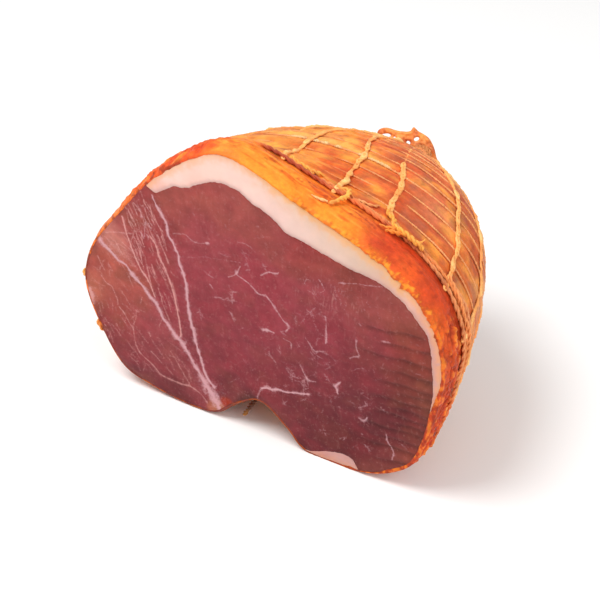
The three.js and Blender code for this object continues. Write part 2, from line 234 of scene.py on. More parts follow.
def joined(loops):
    """Faces between closed loops of point numbers; a loop has a whole number of times its neighbour's."""
    faces = []
    for near, far in zip(loops, loops[1:]):
        flip = len(near) < len(far)
        many, few = (far, near) if flip else (near, far)
        ratio = len(many) // len(few)
        for j, corner in enumerate(few):
            after = few[(j + 1) % len(few)]
            fan = [many[(j * ratio + k) % len(many)] for k in range(ratio + 1)]
            if ratio == 1:
                new = [(fan[0], fan[1], after, corner)]
            else:
                half = ratio // 2
                new = [(fan[k], fan[k + 1], corner) for k in range(half)]
                new += [(fan[half], after, corner)]
                new += [(fan[k], fan[k + 1], after) for k in range(half, ratio)]
            faces += [face[::-1] for face in new] if flip else new
    return faces


def mesh_piece(name, points, faces, material, values=None):
    """One object from points in mm of the cut frame, with a value or colour at each point."""
    mesh = bpy.data.meshes.new(name)
    mesh.from_pydata(((np.asarray(points) + SHIFT) / 1000).tolist(), [], [list(map(int, f)) for f in faces])
    for key, value in (values or {}).items():
        colour = np.ndim(value) == 2
        layer = mesh.attributes.new(key, "FLOAT_COLOR" if colour else "FLOAT", "POINT")
        if colour:
            layer.data.foreach_set("color", np.hstack([value, np.ones((len(value), 1))]).ravel())
        else:
            layer.data.foreach_set("value", np.asarray(value, float).ravel())
    tidy = bmesh.new()
    tidy.from_mesh(mesh)
    bmesh.ops.recalc_face_normals(tidy, faces=tidy.faces)
    tidy.to_mesh(mesh)
    tidy.free()
    mesh.shade_smooth()
    mesh.materials.append(material)
    piece = bpy.data.objects.new(name, mesh)
    bpy.context.scene.collection.objects.link(piece)
    return piece


def add(tree, kind, inputs=None, **settings):
    """A node with its settings, and its inputs as values or links."""
    node = tree.nodes.new(kind)
    for key, value in settings.items():
        setattr(node, key, value)
    for key, value in (inputs or {}).items():
        if isinstance(value, bpy.types.NodeSocket):
            tree.links.new(value, node.inputs[key])
        else:
            node.inputs[key].default_value = value
    return node


def material_of(name):
    material = bpy.data.materials.new(name)
    material.use_nodes = True
    tree = material.node_tree
    return material, tree, tree.nodes["Principled BSDF"]


# Places round the rim: close where the lip is crumbly or the fat ends, wider where it is smooth.
SPACING = [(0, 0.62), (60, 0.6), (76, 0.3), (86, 0.3), (96, 0.5), (200, 0.42), (345, 0.42), (385, 0.52),
           (558, 0.62)]
COLUMNS = 1200
measure = np.linspace(0, RIM_LENGTH, 4000)
gathered = np.concatenate([[0], np.cumsum(np.diff(measure) / station(SPACING, measure[1:]))])
places = np.interp(np.arange(COLUMNS) / COLUMNS * gathered[-1], gathered, measure)
columns = places / RIM_LENGTH

# Layers in the cut as (mm round the rim, mm under the outline): where the casing ends, and where the
# two fats begin and end. Both fats run back from the cut and get thinner on the way.
FAT_FROM, FAT_TO = 79.5, 296.0
WEDGE_FROM, WEDGE_TO = 361.5, 391
DEEPEST_TEAR = 226.5
CASING_AT_CUT = [(0, 1.7), (20, 1.5), (79, 1.5), (297, 3.3), (305, 2.7), (330, 2.2), (345, 2.6), (352, 1.3),
                 (375, 1.5), (388, 1.9), (400, 1.6), (419, 1.6), (427, 1.5), (440, 1.3), (455, 1.5),
                 (470, 1.4), (545, 1.4), (558, 1.7)]
FAT_OUTSIDE = [(80, 1.6), (86, 1.6), (90, 2.4), (95, 1.5), (99, 2), (106, 1.6), (114, 2), (121, 1.7),
               (128, 1.5), (141, 2), (150, 1.6), (161, 1.7), (181, 1.9), (198, 1.7), (208, 2.2), (216, 2.1),
               (226, 2.7), (235, 1.6), (244, 2.1), (253, 1.6), (263, 2.2), (274, 1.9), (284, 2.3), (290, 3),
               (296, 3.3)]
FAT_INSIDE = [(79.5, 1.6), (80, 5.6), (81, 7.2), (86.5, 8.2), (90.5, 8.7), (94.3, 9.4), (98.1, 11.4),
              (101.9, 12.8), (105.4, 12.7), (110, 13.2), (116.6, 13.8), (124.1, 14.7), (134.9, 15.6),
              (144.6, 15.2), (153.1, 16.6), (158, 16), (162.5, 15.9), (166, 16.6), (169.4, 18.2), (173, 18),
              (179, 16.9), (187.7, 16.3), (200.1, 14.9), (209.1, 12.7), (219.1, 9.8), (224.9, 8.7),
              (230.7, 7.8), (241.3, 7.2), (251.9, 5.4), (262, 6), (271.6, 6.4), (284.5, 4.3), (290, 3.7),
              (296, 3.3)]
WEDGE_INSIDE = [(361.5, 1.6), (362.2, 3.3), (363.5, 6.6), (366, 8.2), (369.5, 8.8), (374, 8.2), (379, 7),
                (384, 4.6), (388, 2.6), (391, 1.6)]
WEDGE_OUTSIDE = [(361.5, 1.6), (363, 1.7), (366, 2.6), (369, 2.2), (375, 2.5), (384, 2), (391, 1.6)]

over_fat = (places > FAT_FROM) & (places < FAT_TO)
over_wedge = (places > WEDGE_FROM) & (places < WEDGE_TO)
rim_points = rim(columns)
edge_noise = ripple(np.stack([rim_points[:, 0], np.zeros(COLUMNS), rim_points[:, 1]], -1), 3.1, 2, 3)
ragged = smooth(places, 196, 210) * (1 - smooth(places, 250, 262))
casing_depth = station(CASING_AT_CUT, places) + 0.16 * edge_noise
casing_depth[over_fat] = softened(FAT_OUTSIDE, places, 1.0)[over_fat]
casing_depth += over_fat * edge_noise * (0.22 + 0.75 * ragged)
casing_depth += over_fat * 2.1 * np.exp(-((places - DEEPEST_TEAR) / 0.9) ** 2)
casing_depth[over_wedge] = softened(WEDGE_OUTSIDE, places, 0.8)[over_wedge]
casing_depth = np.maximum(casing_depth, 1.35)
wave = ripple(np.stack([rim_points[:, 0], np.zeros(COLUMNS), rim_points[:, 1]], -1), 2.4, 5, 3)
lean_depth = casing_depth.copy()
fat_depth = softened(FAT_INSIDE, places, 0.5) + 0.22 * wave * smooth(places, 84, 92)
lean_depth[over_fat] = np.maximum(fat_depth, casing_depth + 0.05)[over_fat]
wedge_depth = softened(WEDGE_INSIDE, places, 0.5) + 0.15 * wave
lean_depth[over_wedge] = np.maximum(wedge_depth, casing_depth + 0.05)[over_wedge]


def cut_point(u, depth):
    """Point of the cut at some depth under its outline."""
    flat = rim(u) - sideways(u, np.zeros_like(u)) * np.asarray(depth)[..., None]
    return np.stack([flat[..., 0], np.zeros(flat.shape[:-1]), np.maximum(flat[..., 1], 0.3)], -1)


# Seams and marbling read off the cut, (x, z) or (x, z, width), each with its width in mm and strength.
# White seams are the connective sheets between muscles, pink ones fat that has taken up colour.
WHITE_SEAMS = [
    (1.5, 1.0, [(-51.6, 114.5, 0.6), (-51, 113, 0.9), (-49.4, 109.4), (-46.9, 105.6), (-44.4, 101.3),
                (-44.1, 96.3), (-41.9, 93), (-40.6, 90), (-39, 87), (-38.8, 82.5), (-37.2, 78.8), (-36, 75),
                (-35.3, 70), (-35, 62, 1.7), (-34.1, 53, 1.8), (-32.8, 46, 2), (-32, 41, 1.7), (-30, 34),
                (-28.4, 28.8), (-27.7, 25), (-25.2, 20.6, 2), (-22.8, 18, 2.4)]),
    (2.2, 0.95, [(-83.8, 80.6, 3), (-80.6, 77.5, 2.4), (-77.5, 75.6, 1.4), (-74, 72.5, 2.2),
                 (-70.5, 71.5, 1.2), (-67, 68.3, 2), (-65.8, 66.3, 3), (-62.5, 63.8, 1.6), (-60, 61.6, 1.8),
                 (-57, 58, 2.4), (-54.7, 56.3, 3.2), (-52.2, 53, 2.2), (-50.6, 48, 1.8), (-47, 44.4, 2.4),
                 (-43.8, 40, 3), (-39.7, 37, 3.6), (-36.9, 33, 2.8), (-33.8, 28, 2.2), (-29.4, 21.3, 3.2)]),
    (6, 1.0, [(-29, 20, 3.4), (-26.6, 16.5, 5.4), (-24, 13, 6), (-21.6, 9, 5.6), (-20, 5.5, 3.6)]),
    (0.9, 0.6, [(-57.5, 90.6), (-57, 95), (-56.3, 98, 1.6)]),
    (1.2, 0.8, [(-23.6, 98.4), (-23, 98.4, 1.6), (-22.2, 98.6)]),
    (0.8, 0.55, [(-41.3, 97.5), (-36.3, 98.8, 1.2), (-34.4, 99), (-30.6, 97, 1.2), (-27, 97), (-23, 98.4)]),
    (0.5, 0.4, [(-35.6, 87), (-30, 88.4), (-25, 90.6), (-21.3, 91), (-13.8, 92.5), (-5, 94)]),
    (1.0, 0.75, [(-12.2, 84.1, 0.6), (-8.5, 86.6), (-7.5, 88.1, 1.9), (-6.6, 90, 0.8), (-5.6, 92.5, 0.5)]),
    (0.8, 0.7, [(-7.5, 86.6, 0.7), (-2.5, 85, 0.6), (0, 83.4, 0.6), (3.8, 80.8, 1.2), (7.5, 81, 1.2),
                (10, 78.8, 1.4), (12.5, 76, 1.4), (16.3, 71.3, 0.8), (19, 69.4, 1.9), (19.2, 68, 1.5),
                (17.5, 65.6, 0.8)]),
    (1.2, 0.85, [(5.6, 61.6, 1.4), (6.4, 62.2, 2.2), (8.5, 62.7), (11.3, 62.4, 0.8)]),
    (0.8, 0.6, [(16.3, 61), (18.4, 60.8), (20.3, 60.3), (20.3, 57, 0.6)]),
    (0.9, 0.75, [(4.9, 90.8, 0.7), (8.7, 93.8), (12.6, 94.4), (14, 95.3, 0.5)]),
    (0.8, 0.7, [(37.5, 81, 1.0), (38, 77.5, 0.6), (38.1, 73.1, 0.9), (38.4, 69.5, 1.7), (38, 66.9, 0.7)]),
    (0.8, 0.65, [(27.5, 66.3, 0.5), (30, 63.6), (32.8, 60.5, 1.1), (35, 61.5), (37.2, 62.3, 0.7)]),
    (0.6, 0.5, [(30.4, 59.4), (31.6, 58), (32.9, 56.2)]),
    (0.8, 0.65, [(50.3, 63.6), (52, 65), (54.7, 66.6, 1.4), (53.7, 69, 0.8), (53.1, 71.3),
                 (53, 74.4, 1.0)]),
    (0.9, 0.7, [(24.7, 50, 0.4), (26.3, 47, 0.7), (27.8, 44.4, 0.9), (29, 42.8, 1.7), (31, 42.9),
                (33.2, 43.3, 0.4)]),
    (2.4, 0.85, [(45.6, 48.2, 0.7), (44.2, 46.6, 1.8), (43.3, 45.2, 2.7), (43.9, 43.3, 1.2),
                 (44.4, 41.3, 0.7)]),
    (1.6, 0.95, [(4.3, 28, 1.2), (7, 29.4, 2), (10, 29.7, 1.8), (13, 31, 1.5), (17.5, 31.3, 1.3),
                 (21.3, 32.5, 1.3), (26.3, 33.8, 1.2), (29.2, 34.8, 1.5)]),
    (1.0, 0.6, [(2, 19.5, 0.8), (2, 22), (3, 25, 1.2), (4.3, 28, 1.2)]),
    (1.5, 0.75, [(55.3, 31.9, 0.7), (57.6, 31.4, 2.1), (58.9, 32.6, 1), (59.4, 34.1, 0.6)]),
    (0.9, 0.7, [(69.4, 28.8), (70, 25.6), (72.5, 21.9), (73.6, 19.7, 1.1), (72.8, 15.6, 0.6)]),
    (0.8, 0.6, [(65.3, 78.6), (67, 79, 1.2), (69.6, 79.2)]),
    (0.9, 0.6, [(44, 100.9), (45.3, 101.3, 1.8), (47.5, 101.9, 0.6), (52, 103.2, 0.5), (58, 104.3, 0.5),
                (64.4, 105.8, 0.4)]),
    (0.8, 0.55, [(34.4, 99), (35.9, 96.9), (36.9, 94.4, 0.6), (34.7, 92.4, 1.5)]),
    (0.8, 0.5, [(29.7, 97.2), (28.1, 96.9), (27.2, 94.4, 1.3)]),
    (1.2, 0.6, [(54, 83.3, 1.3), (54.8, 82.8, 1.2)]),
    (0.7, 0.5, [(25.6, 73.1), (27.2, 76, 1.2)]),
    (0.7, 0.6, [(-22.2, 76.6), (-20.6, 74.7, 0.8)]),
    (1.1, 0.5, [(-20, 70.3), (-17, 71.3), (-15, 71), (-12.8, 72.8, 1.4)]),
    (0.7, 0.45, [(-7.5, 57), (-5, 59)]),
    (0.8, 0.45, [(-6.5, 104.4), (-3, 104.7, 1.3), (0, 104), (2.5, 102, 0.5)]),
    (0.6, 0.4, [(2.7, 109.4), (5.6, 110.9), (9.3, 112.3)]),
    (0.6, 0.4, [(42.2, 98.8), (42.4, 91.6)]),
    (0.7, 0.4, [(66.6, 67.2), (65.6, 63.3)]),
    (0.9, 0.4, [(76.3, 26.6), (79.4, 25)]),
    (0.6, 0.4, [(81.9, 67.8), (85.6, 67.8)]),
    (0.7, 0.45, [(49, 18.8), (45.6, 15.6)]),
    (0.6, 0.35, [(55.6, 16.9), (53, 14)]),
    (1.2, 0.4, [(57, 23.9), (57.8, 23.6)]),
    (1.3, 0.35, [(36.9, 29.4), (36.3, 27)]),
    (1.2, 0.4, [(45, 34), (45.6, 33.6)]),
    (1.1, 0.35, [(-8.6, 126.6), (-7, 126.5)]),
    (1.6, 0.3, [(3.4, 115.6), (4.4, 115.8)]),
    (1.0, 0.35, [(-6.4, 70.5), (-5.4, 70.8)]),
    (1.0, 0.35, [(-6.4, 65.3), (-5.6, 65.4)]),
    (0.7, 0.35, [(-13, 24.4), (-9.4, 28)]),
    (0.7, 0.35, [(-10, 22), (-5, 20.6), (0, 19.7)]),
    (0.7, 0.3, [(1.3, 33), (7.2, 36.6)]),
]
PINK_SEAMS = [
    (0.9, 0.8, [(-69.7, 97.5), (-68.8, 93.8), (-68, 89.4), (-66.3, 84.4), (-65, 80.6), (-63.4, 76.3),
                (-61.3, 72), (-58, 68), (-56, 64.5), (-54.8, 61), (-54.1, 58.8)]),
    (0.7, 0.55, [(-57.2, 75), (-56.6, 70), (-55.3, 63.8)]),
    (0.5, 0.4, [(-58, 79.4), (-57.5, 73.8), (-56.3, 67)]),
    (0.9, 0.75, [(-54.4, 92), (-51.3, 88), (-50, 82.5), (-47.5, 77.5), (-45, 72), (-43.5, 67),
                 (-42.2, 61.3), (-41.3, 55), (-40.6, 48.8), (-40.3, 42.3), (-40.6, 40.6)]),
    (0.7, 0.5, [(-80, 85.6), (-74.4, 87.5), (-68.8, 88.8), (-65, 89.7)]),
    (0.6, 0.5, [(-62.8, 93), (-63.8, 90), (-65.6, 85)]),
    (0.8, 0.5, [(-52.5, 101.3), (-51.3, 98.8)]),
    (0.8, 0.55, [(-50, 93.8), (-47.5, 87.5), (-45.6, 82.5), (-45, 80.6)]),
    (0.7, 0.45, [(-63, 106.3), (-60.6, 100.6)]),
    (0.8, 0.5, [(-62.5, 92), (-61, 88), (-59, 84.4)]),
    (0.8, 0.5, [(-75, 82.5), (-71.3, 76.3)]),
    (0.7, 0.5, [(-70.6, 83), (-64.4, 79.4)]),
    (0.6, 0.45, [(-53, 108.8), (-52.5, 103.8)]),
    (0.6, 0.4, [(-59.4, 109.4), (-58, 106.3)]),
    (0.7, 0.4, [(-43.8, 76.3), (-41.9, 74.4)]),
    (0.6, 0.5, [(-86, 70.6), (-84.4, 67), (-82.5, 63.8)]),
    (0.6, 0.35, [(-80, 68.8), (-79.7, 60.6)]),
    (0.7, 0.5, [(-85, 60), (-82.2, 56.3), (-79.4, 55.6), (-78, 52), (-76.6, 48), (-76.9, 45.6)]),
    (0.8, 0.5, [(-76, 44.4), (-73.8, 42.5), (-72, 39.4), (-70, 36.3), (-68.8, 35.3, 1.8), (-68.4, 33.8),
                (-68, 28.8), (-66.3, 23), (-63, 20), (-59.4, 18), (-56.3, 15.3), (-53.8, 12.8),
                (-47.5, 12, 1.2), (-40, 12, 1.3), (-36.3, 12.5, 1.2), (-30, 9.7), (-27, 6.3)]),
    (0.6, 0.4, [(-66, 45), (-66.3, 42.5), (-68, 37.5)]),
    (0.6, 0.4, [(-82, 32.5), (-78.8, 30), (-76.6, 27)]),
    (0.6, 0.4, [(-72.5, 25.6), (-69.4, 22)]),
    (0.7, 0.45, [(-58.4, 25), (-55, 22.5), (-52.8, 20.3)]),
    (0.6, 0.4, [(-49.4, 18), (-46.3, 15.6)]),
    (0.6, 0.4, [(-63, 14.4), (-64, 11.3)]),
    (0.6, 0.45, [(-47, 29.4), (-43.8, 25), (-40, 18.8), (-36.3, 13)]),
    (0.7, 0.4, [(-51, 46.3), (-52.8, 42)]),
    (1.3, 0.45, [(-59, 36), (-58.4, 33.8)]),
    (3.4, 0.9, [(-93.3, 49.5, 1.6), (-93, 46.5, 3.4), (-93, 43.5, 3.2), (-93.4, 40.6, 1.6)]),
    (3.5, 0.3, [(-80, 83, 1.5), (-75, 79, 4), (-69, 76, 3.5), (-63, 71, 2)]),
]


def scattered(seed, count, zone, heading, spread, length, width, strength, twigs=0):
    """Short random streaks in an ellipse (x, z, half width, half height), some with twigs to the sides."""
    pick = np.random.default_rng(seed)
    strokes = []
    for streak in range(count):
        turn_by, far = pick.uniform(0, 2 * math.pi), math.sqrt(pick.uniform(0, 1))
        aim = np.array([math.cos(turn_by), math.sin(turn_by)])
        middle = np.array(zone[:2]) + np.array(zone[2:]) * far * aim
        angle = math.radians(heading + pick.normal(0, spread))
        half = pick.uniform(*length) / 2 * np.array([math.cos(angle), math.sin(angle)])
        bow = pick.normal(0, 0.12) * np.array([-half[1], half[0]])
        stops = [tuple(middle - half) + (width * 0.5,), tuple(middle + bow), tuple(middle + half) + (0.3,)]
        strokes.append((width * pick.uniform(0.7, 1.3), pick.uniform(*strength), stops))
        for twig in range(twigs):
            base = middle + bow + half * pick.uniform(-0.8, 0.8)
            heads = angle + math.radians(pick.uniform(35, 80)) * pick.choice((-1, 1))
            reach = pick.uniform(0.4, 0.9) * np.hypot(*half)
            tip = base + reach * np.array([math.cos(heads), math.sin(heads)])
            strokes.append((width, strokes[-1][1], [tuple(base) + (width * 1.3,), tuple(tip) + (0.3,)]))
    return strokes


WHITE_SEAMS += scattered(11, 70, (0, 76, 34, 40), 30, 60, (0.8, 3.2), 0.8, (0.16, 0.34))
WHITE_SEAMS += scattered(12, 110, (56, 56, 34, 46), 70, 35, (0.8, 3.0), 0.7, (0.16, 0.36))
WHITE_SEAMS += scattered(20, 60, (43, 93, 17, 8), 86, 16, (1.0, 3.4), 0.6, (0.2, 0.44))
WHITE_SEAMS += scattered(13, 50, (-8, 112, 34, 11), 25, 50, (0.8, 3.0), 0.7, (0.16, 0.34))
WHITE_SEAMS += scattered(14, 70, (30, 22, 44, 14), 55, 30, (0.8, 3.2), 0.7, (0.16, 0.36))
WHITE_SEAMS += scattered(21, 20, (36, 56, 30, 26), 40, 60, (4.0, 9.0), 1.1, (0.28, 0.46), 2)
WHITE_SEAMS += scattered(23, 30, (6, 70, 38, 40), -34, 50, (3.0, 8.0), 1.3, (0.3, 0.52), 2)
WHITE_SEAMS += scattered(24, 20, (40, 32, 34, 20), 40, 60, (2.5, 6.0), 1.3, (0.28, 0.48), 2)
WHITE_SEAMS += scattered(22, 26, (-57, 98, 6, 9), -66, 14, (1.2, 4.0), 0.85, (0.35, 0.7))
PINK_SEAMS += scattered(15, 60, (-56, 90, 10, 22), -67, 6, (4.0, 13.0), 0.75, (0.25, 0.6))
PINK_SEAMS += scattered(16, 22, (-46, 62, 5, 18), -72, 6, (4.0, 12.0), 0.7, (0.25, 0.5))
PINK_SEAMS += scattered(17, 44, (-76, 46, 15, 27), -60, 28, (3.0, 9.0), 0.7, (0.2, 0.42))
PINK_SEAMS += scattered(18, 36, (-56, 24, 22, 13), -38, 30, (3.0, 9.0), 0.7, (0.2, 0.42))
PINK_SEAMS += scattered(19, 24, (-72, 78, 9, 9), -50, 22, (3.0, 8.0), 0.7, (0.25, 0.5))


def streaked(points, seams):
    """Strength at each point of the cut of strokes that fade to both sides and at their ends."""
    mark = np.zeros(len(points))
    frayed = np.clip(1 + 0.55 * ripple(points, 2.6, 83, 3), 0.45, 1.7)
    for width, strength, stops in seams:
        full = flowing([tuple(p) + (width,) * (3 - len(p)) for p in stops], steps=5)
        low, high = full[:, :2].min(0) - 4, full[:, :2].max(0) + 4
        near = np.flatnonzero(((points > low) & (points < high)).all(1))
        best = np.zeros(len(near))
        for a, b in zip(full, full[1:]):
            across = b[:2] - a[:2]
            t = np.clip(((points[near] - a[:2]) @ across) / max(across @ across, 1e-9), 0, 1)
            gap = np.linalg.norm(points[near] - a[:2] - t[:, None] * across, axis=1)
            reach = 0.9 * frayed[near] * (a[2] + t * (b[2] - a[2]))
            best = np.maximum(best, np.maximum(1 - gap / reach, 0.36 * (1 - gap / (3 * reach))))
        mark[near] = np.maximum(mark[near], strength * best)
    return mark


# Cut face: close points on the seams, wider between them, and none within 0.3 mm of the edge.
front = cut_point(columns, lean_depth)
edge = front[:, [0, 2]]
near_edge = KDTree(len(edge))
for number, (x, z) in enumerate(edge):
    near_edge.insert((x, z, 0), number)
near_edge.balance()


def lattice(step, seed):
    xs, zs = np.meshgrid(np.arange(-97, 97, step), np.arange(0, 148, step * 0.866))
    xs[1::2] += step / 2
    points = np.stack([xs.ravel(), zs.ravel()], -1)
    return points + np.random.default_rng(seed).uniform(-0.12, 0.12, points.shape) * step


coarse, fine = lattice(0.95, 1), lattice(0.42, 2)
white, pink = streaked(fine, WHITE_SEAMS), streaked(fine, PINK_SEAMS)
fine = fine[np.maximum(white, pink) > 0.1]
crowd = KDTree(len(fine))
for number, (x, z) in enumerate(fine):
    crowd.insert((x, z, 0), number)
crowd.balance()
coarse = coarse[[crowd.find((x, z, 0))[2] > 0.55 for x, z in coarse]]
inner = np.vstack([coarse, fine])
inner = inner[[near_edge.find((x, z, 0))[2] > 0.3 for x, z in inner]]
flat_points, unused, flat_faces, origins, unused, unused = delaunay_2d_cdt(
    [Vector(p) for p in np.vstack([edge, inner])], [], [list(range(COLUMNS))], 1, 1e-5)
flat_points = np.array([tuple(p) for p in flat_points])
sources = [list(origin) for origin in origins]
cut_edge = np.zeros(COLUMNS, int)
for number, origin in enumerate(sources):
    for source in origin:
        if source < COLUMNS:
            cut_edge[source] = number
white, pink = streaked(flat_points, WHITE_SEAMS), streaked(flat_points, PINK_SEAMS)

# The knife left shallow steps on the right, as (x, z) to (x, z). The drier seams stand a little out.
KNIFE_STEPS = [(56, 31.5, 88, 34.4), (64, 40.4, 89, 41.8), (60, 47.8, 89, 50.6), (60, 21.5, 86, 23.8),
               (66, 57.6, 90, 59.4), (56, 70.5, 90, 73), (56, 83, 84, 87), (64, 13.5, 82, 16),
               (70, 64.4, 90, 66), (66, 27, 87, 29), (72, 36.8, 89, 38), (70, 44.6, 90, 46.4),
               (74, 54, 90, 55.6), (64, 77.6, 88, 80.6)]
step_mark = np.zeros(len(flat_points))
x, z = flat_points.T
for x0, z0, x1, z1 in KNIFE_STEPS:
    line_z = z0 + (x - x0) * (z1 - z0) / (x1 - x0) + 0.4 * np.sin(x / 3 + z0)
    apart = z - line_z
    within = smooth(x, x0 - 8, x0 + 8) * (1 - smooth(x, x1 - 1, x1 + 3))
    step_mark = np.maximum(step_mark, within * np.exp(-np.where(apart > 0, apart / 0.45, apart / 1.9) ** 2))
from_edge = np.array([near_edge.find((x, z, 0))[2] for x, z in flat_points])
grain = ripple(flat_points, (5, 1.1), 1, 3)
push = 0.14 * np.maximum(white, pink) - 0.3 * step_mark + 0.07 * grain + 0.3 * ripple(flat_points, 26, 3)
face = np.stack([flat_points[:, 0], -push * smooth(from_edge, 0, 2.5), flat_points[:, 1]], -1)

# Colour patches as (x, z, reach, hex); they are partly painted shade, darker towards the bottom and the
# lower right of the cut.
LEAN_PATCHES = [
    (-88, 72, 13, "#b25d4c"), (-80, 58, 13, "#b86655"), (-92, 50, 8, "#bd7358"), (-68, 56, 12, "#b05a50"),
    (-76, 42, 13, "#a34d47"), (-80, 26, 12, "#8f4144"), (-60, 40, 13, "#a25053"), (-56, 24, 12, "#93484c"),
    (-64, 8, 11, "#7b3b40"), (-46, 7, 10, "#763539"), (-36, 16, 9, "#95494d"), (-76, 84, 9, "#d08c7c"),
    (-66, 98, 10, "#a6544d"), (-58, 112, 9, "#9c4a47"), (-60, 86, 10, "#a34b4b"), (-50, 76, 9, "#a1474a"),
    (-47, 58, 9, "#983f47"), (-44, 98, 9, "#9d4648"), (-40, 112, 10, "#a8584f"), (-26, 122, 10, "#ac5c51"),
    (-8, 122, 12, "#ab5a53"), (-28, 104, 12, "#a55053"), (-26, 84, 13, "#a04a51"), (-24, 62, 14, "#99444c"),
    (-20, 40, 14, "#8f3f47"), (-12, 24, 9, "#7f3a40"), (-4, 17, 5, "#54302c"),
    (-15.4, 11.2, 2.4, "#b23a1c"), (-21.5, 5.5, 3.4, "#c07c58"), (8, 110, 12, "#a4534f"),
    (0, 92, 13, "#a0474f"), (6, 72, 14, "#9d454e"), (4, 50, 14, "#93424b"), (10, 36, 11, "#87393f"),
    (14, 20, 10, "#823a3e"), (30, 106, 10, "#9f4b45"), (52, 103, 8, "#964a41"), (34, 90, 12, "#9d4b50"),
    (56, 94, 11, "#a15450"), (72, 94, 9, "#a0564c"), (36, 66, 14, "#924049"), (30, 46, 13, "#843b42"),
    (28, 24, 13, "#76343a"), (36, 10, 9, "#6f3035"), (60, 78, 12, "#96464a"), (76, 82, 10, "#97493f"),
    (84, 76, 7, "#93493b"), (58, 58, 13, "#84393f"), (76, 60, 11, "#844039"), (85, 58, 8, "#86493b"),
    (54, 36, 13, "#72343a"), (72, 38, 11, "#713336"), (85, 36, 7, "#84453a"), (56, 16, 11, "#6d2e31"),
    (74, 18, 9, "#85403e"), (62, 6, 7, "#8b4a42"), (83, 20, 5, "#9c4c3b"),
]
tint = patchwork(flat_points, LEAN_PATCHES, 1.6) * [0.88, 0.71, 0.73]


def toward(colours, hex_colour, share):
    share = np.clip(share, 0, 1)[:, None]
    return colours * (1 - share) + np.array(linear(hex_colour)[:3]) * share


clouds = ripple(flat_points, (17, 12), 81, 3)
grey_spots = ripple(flat_points, (5, 4), 82, 3)
sides_share = 0.35 + 0.65 * np.maximum(1 - smooth(x, -75, -40), smooth(x, 60, 88))
tint = toward(tint, "#8a4a38", smooth(clouds, 0.1, 0.8) * 0.42 * sides_share)
tint = toward(tint, "#952f38", smooth(-clouds, 0.15, 0.8) * 0.22)
tint *= (1 + 0.09 * grey_spots)[:, None]
# The edge is a little darker, and the knife steps get painted shade, up to a third darker.
dryness = np.exp(-(from_edge / 1.6) ** 2)
tint *= (1 - 0.08 * dryness - 0.34 * step_mark)[:, None]
fibres = np.exp(-((x - 43) / 17) ** 2 - ((z - 93) / 9) ** 2)
fibres = np.maximum(fibres, 0.12)

# How far the lean lies under the casing's outside behind the cut, and how deep the two fats run back.
LEAN_UNDER = 1.3
FAT_LENGTH, WEDGE_LENGTH = 92, 46
lean_rows = [3, 8, 14, 20, 30, 45, 60, 76, 90, 102, 110]
lean_columns = columns[::6]
around = len(lean_columns)
lean_points = [face]
lean_loops = [cut_edge.tolist()]
fat_thickness = (lean_depth - casing_depth)[::6]
for s in lean_rows:
    start = sum(len(p) for p in lean_points)
    thinning = math.sqrt(max(0.0, 1 - 0.96 * (s / FAT_LENGTH) ** 2)) if s < FAT_LENGTH else 0.0
    lean_points.append(over(lean_columns, np.full(around, float(s)),
                            -LEAN_UNDER - fat_thickness * thinning))
    lean_loops.append(list(range(start, start + around)))
count = sum(len(p) for p in lean_points)
end = over(lean_columns, np.full(around, float(lean_rows[-1])), -LEAN_UNDER)
lean_points.append(end.mean(0, keepdims=True) + [[0, 2, 0]])
lean_faces = [tuple(f) for f in flat_faces] + joined(lean_loops)
last = lean_loops[-1]
lean_faces += [(last[j], last[(j + 1) % around], count) for j in range(around)]
lean_points = np.vstack(lean_points)
behind = len(lean_points) - len(face)

# Cured pork, sliced: a damp, satin cut. Clouds of 9 mm, specks of 2 mm and fibres 1 by 5 mm break the
# red, and the seams are duller. Each pattern's scale is 1000 over its size in mm.
lean_paint, tree, surface = material_of("cured_lean_pork_sliced")
where = add(tree, "ShaderNodeTexCoord").outputs["Object"]
seams = add(tree, "ShaderNodeAttribute", attribute_name="white_seam").outputs["Fac"]
veins = add(tree, "ShaderNodeAttribute", attribute_name="pink_seam").outputs["Fac"]
fibrous = add(tree, "ShaderNodeAttribute", attribute_name="fibrous").outputs["Fac"]
lean_tint = add(tree, "ShaderNodeAttribute", attribute_name="tint").outputs["Color"]
cloudy = add(tree, "ShaderNodeTexNoise", {"Vector": where, "Scale": 1000 / 9.091, "Detail": 6.0,
                                          "Roughness": 0.68})
speckle = add(tree, "ShaderNodeTexNoise", {"Vector": where, "Scale": 1000 / 1.923, "Detail": 3.0,
                                           "Roughness": 0.7})
turn = add(tree, "ShaderNodeMapping", {"Vector": where, "Rotation": (0, math.radians(-24), 0),
                                       "Scale": (1000 / 1.111, 1000 / 3.333, 1000 / 4.762)})
strands = add(tree, "ShaderNodeTexNoise", {"Vector": turn.outputs["Vector"], "Scale": 1.0, "Detail": 3.0})
shade = add(tree, "ShaderNodeMapRange", {"Value": cloudy.outputs["Fac"], "From Min": 0.3, "From Max": 0.7,
                                         "To Min": 0.8, "To Max": 1.14})
toned = add(tree, "ShaderNodeVectorMath", {0: lean_tint, "Scale": shade.outputs["Result"]},
            operation="SCALE")
dots = add(tree, "ShaderNodeMapRange", {"Value": speckle.outputs["Fac"], "From Min": 0.56, "From Max": 0.74,
                                        "To Min": 0.0, "To Max": 0.16})
dotted = add(tree, "ShaderNodeMix", {"Factor": dots.outputs["Result"], 6: toned.outputs["Vector"],
                                     7: linear("#d99a92")}, data_type="RGBA")
flecks = add(tree, "ShaderNodeMapRange", {"Value": strands.outputs["Fac"], "From Min": 0.58,
                                          "From Max": 0.72, "To Min": 0.0, "To Max": 0.42})
fleck_share = add(tree, "ShaderNodeMath", {0: flecks.outputs["Result"], 1: fibrous}, operation="MULTIPLY")
flecked = add(tree, "ShaderNodeMix", {"Factor": fleck_share.outputs["Value"], 6: dotted.outputs[2],
                                      7: linear("#d1908a")}, data_type="RGBA")
wobble = add(tree, "ShaderNodeTexNoise", {"Vector": where, "Scale": 1000 / 0.909, "Detail": 3.0,
                                          "Roughness": 0.7})
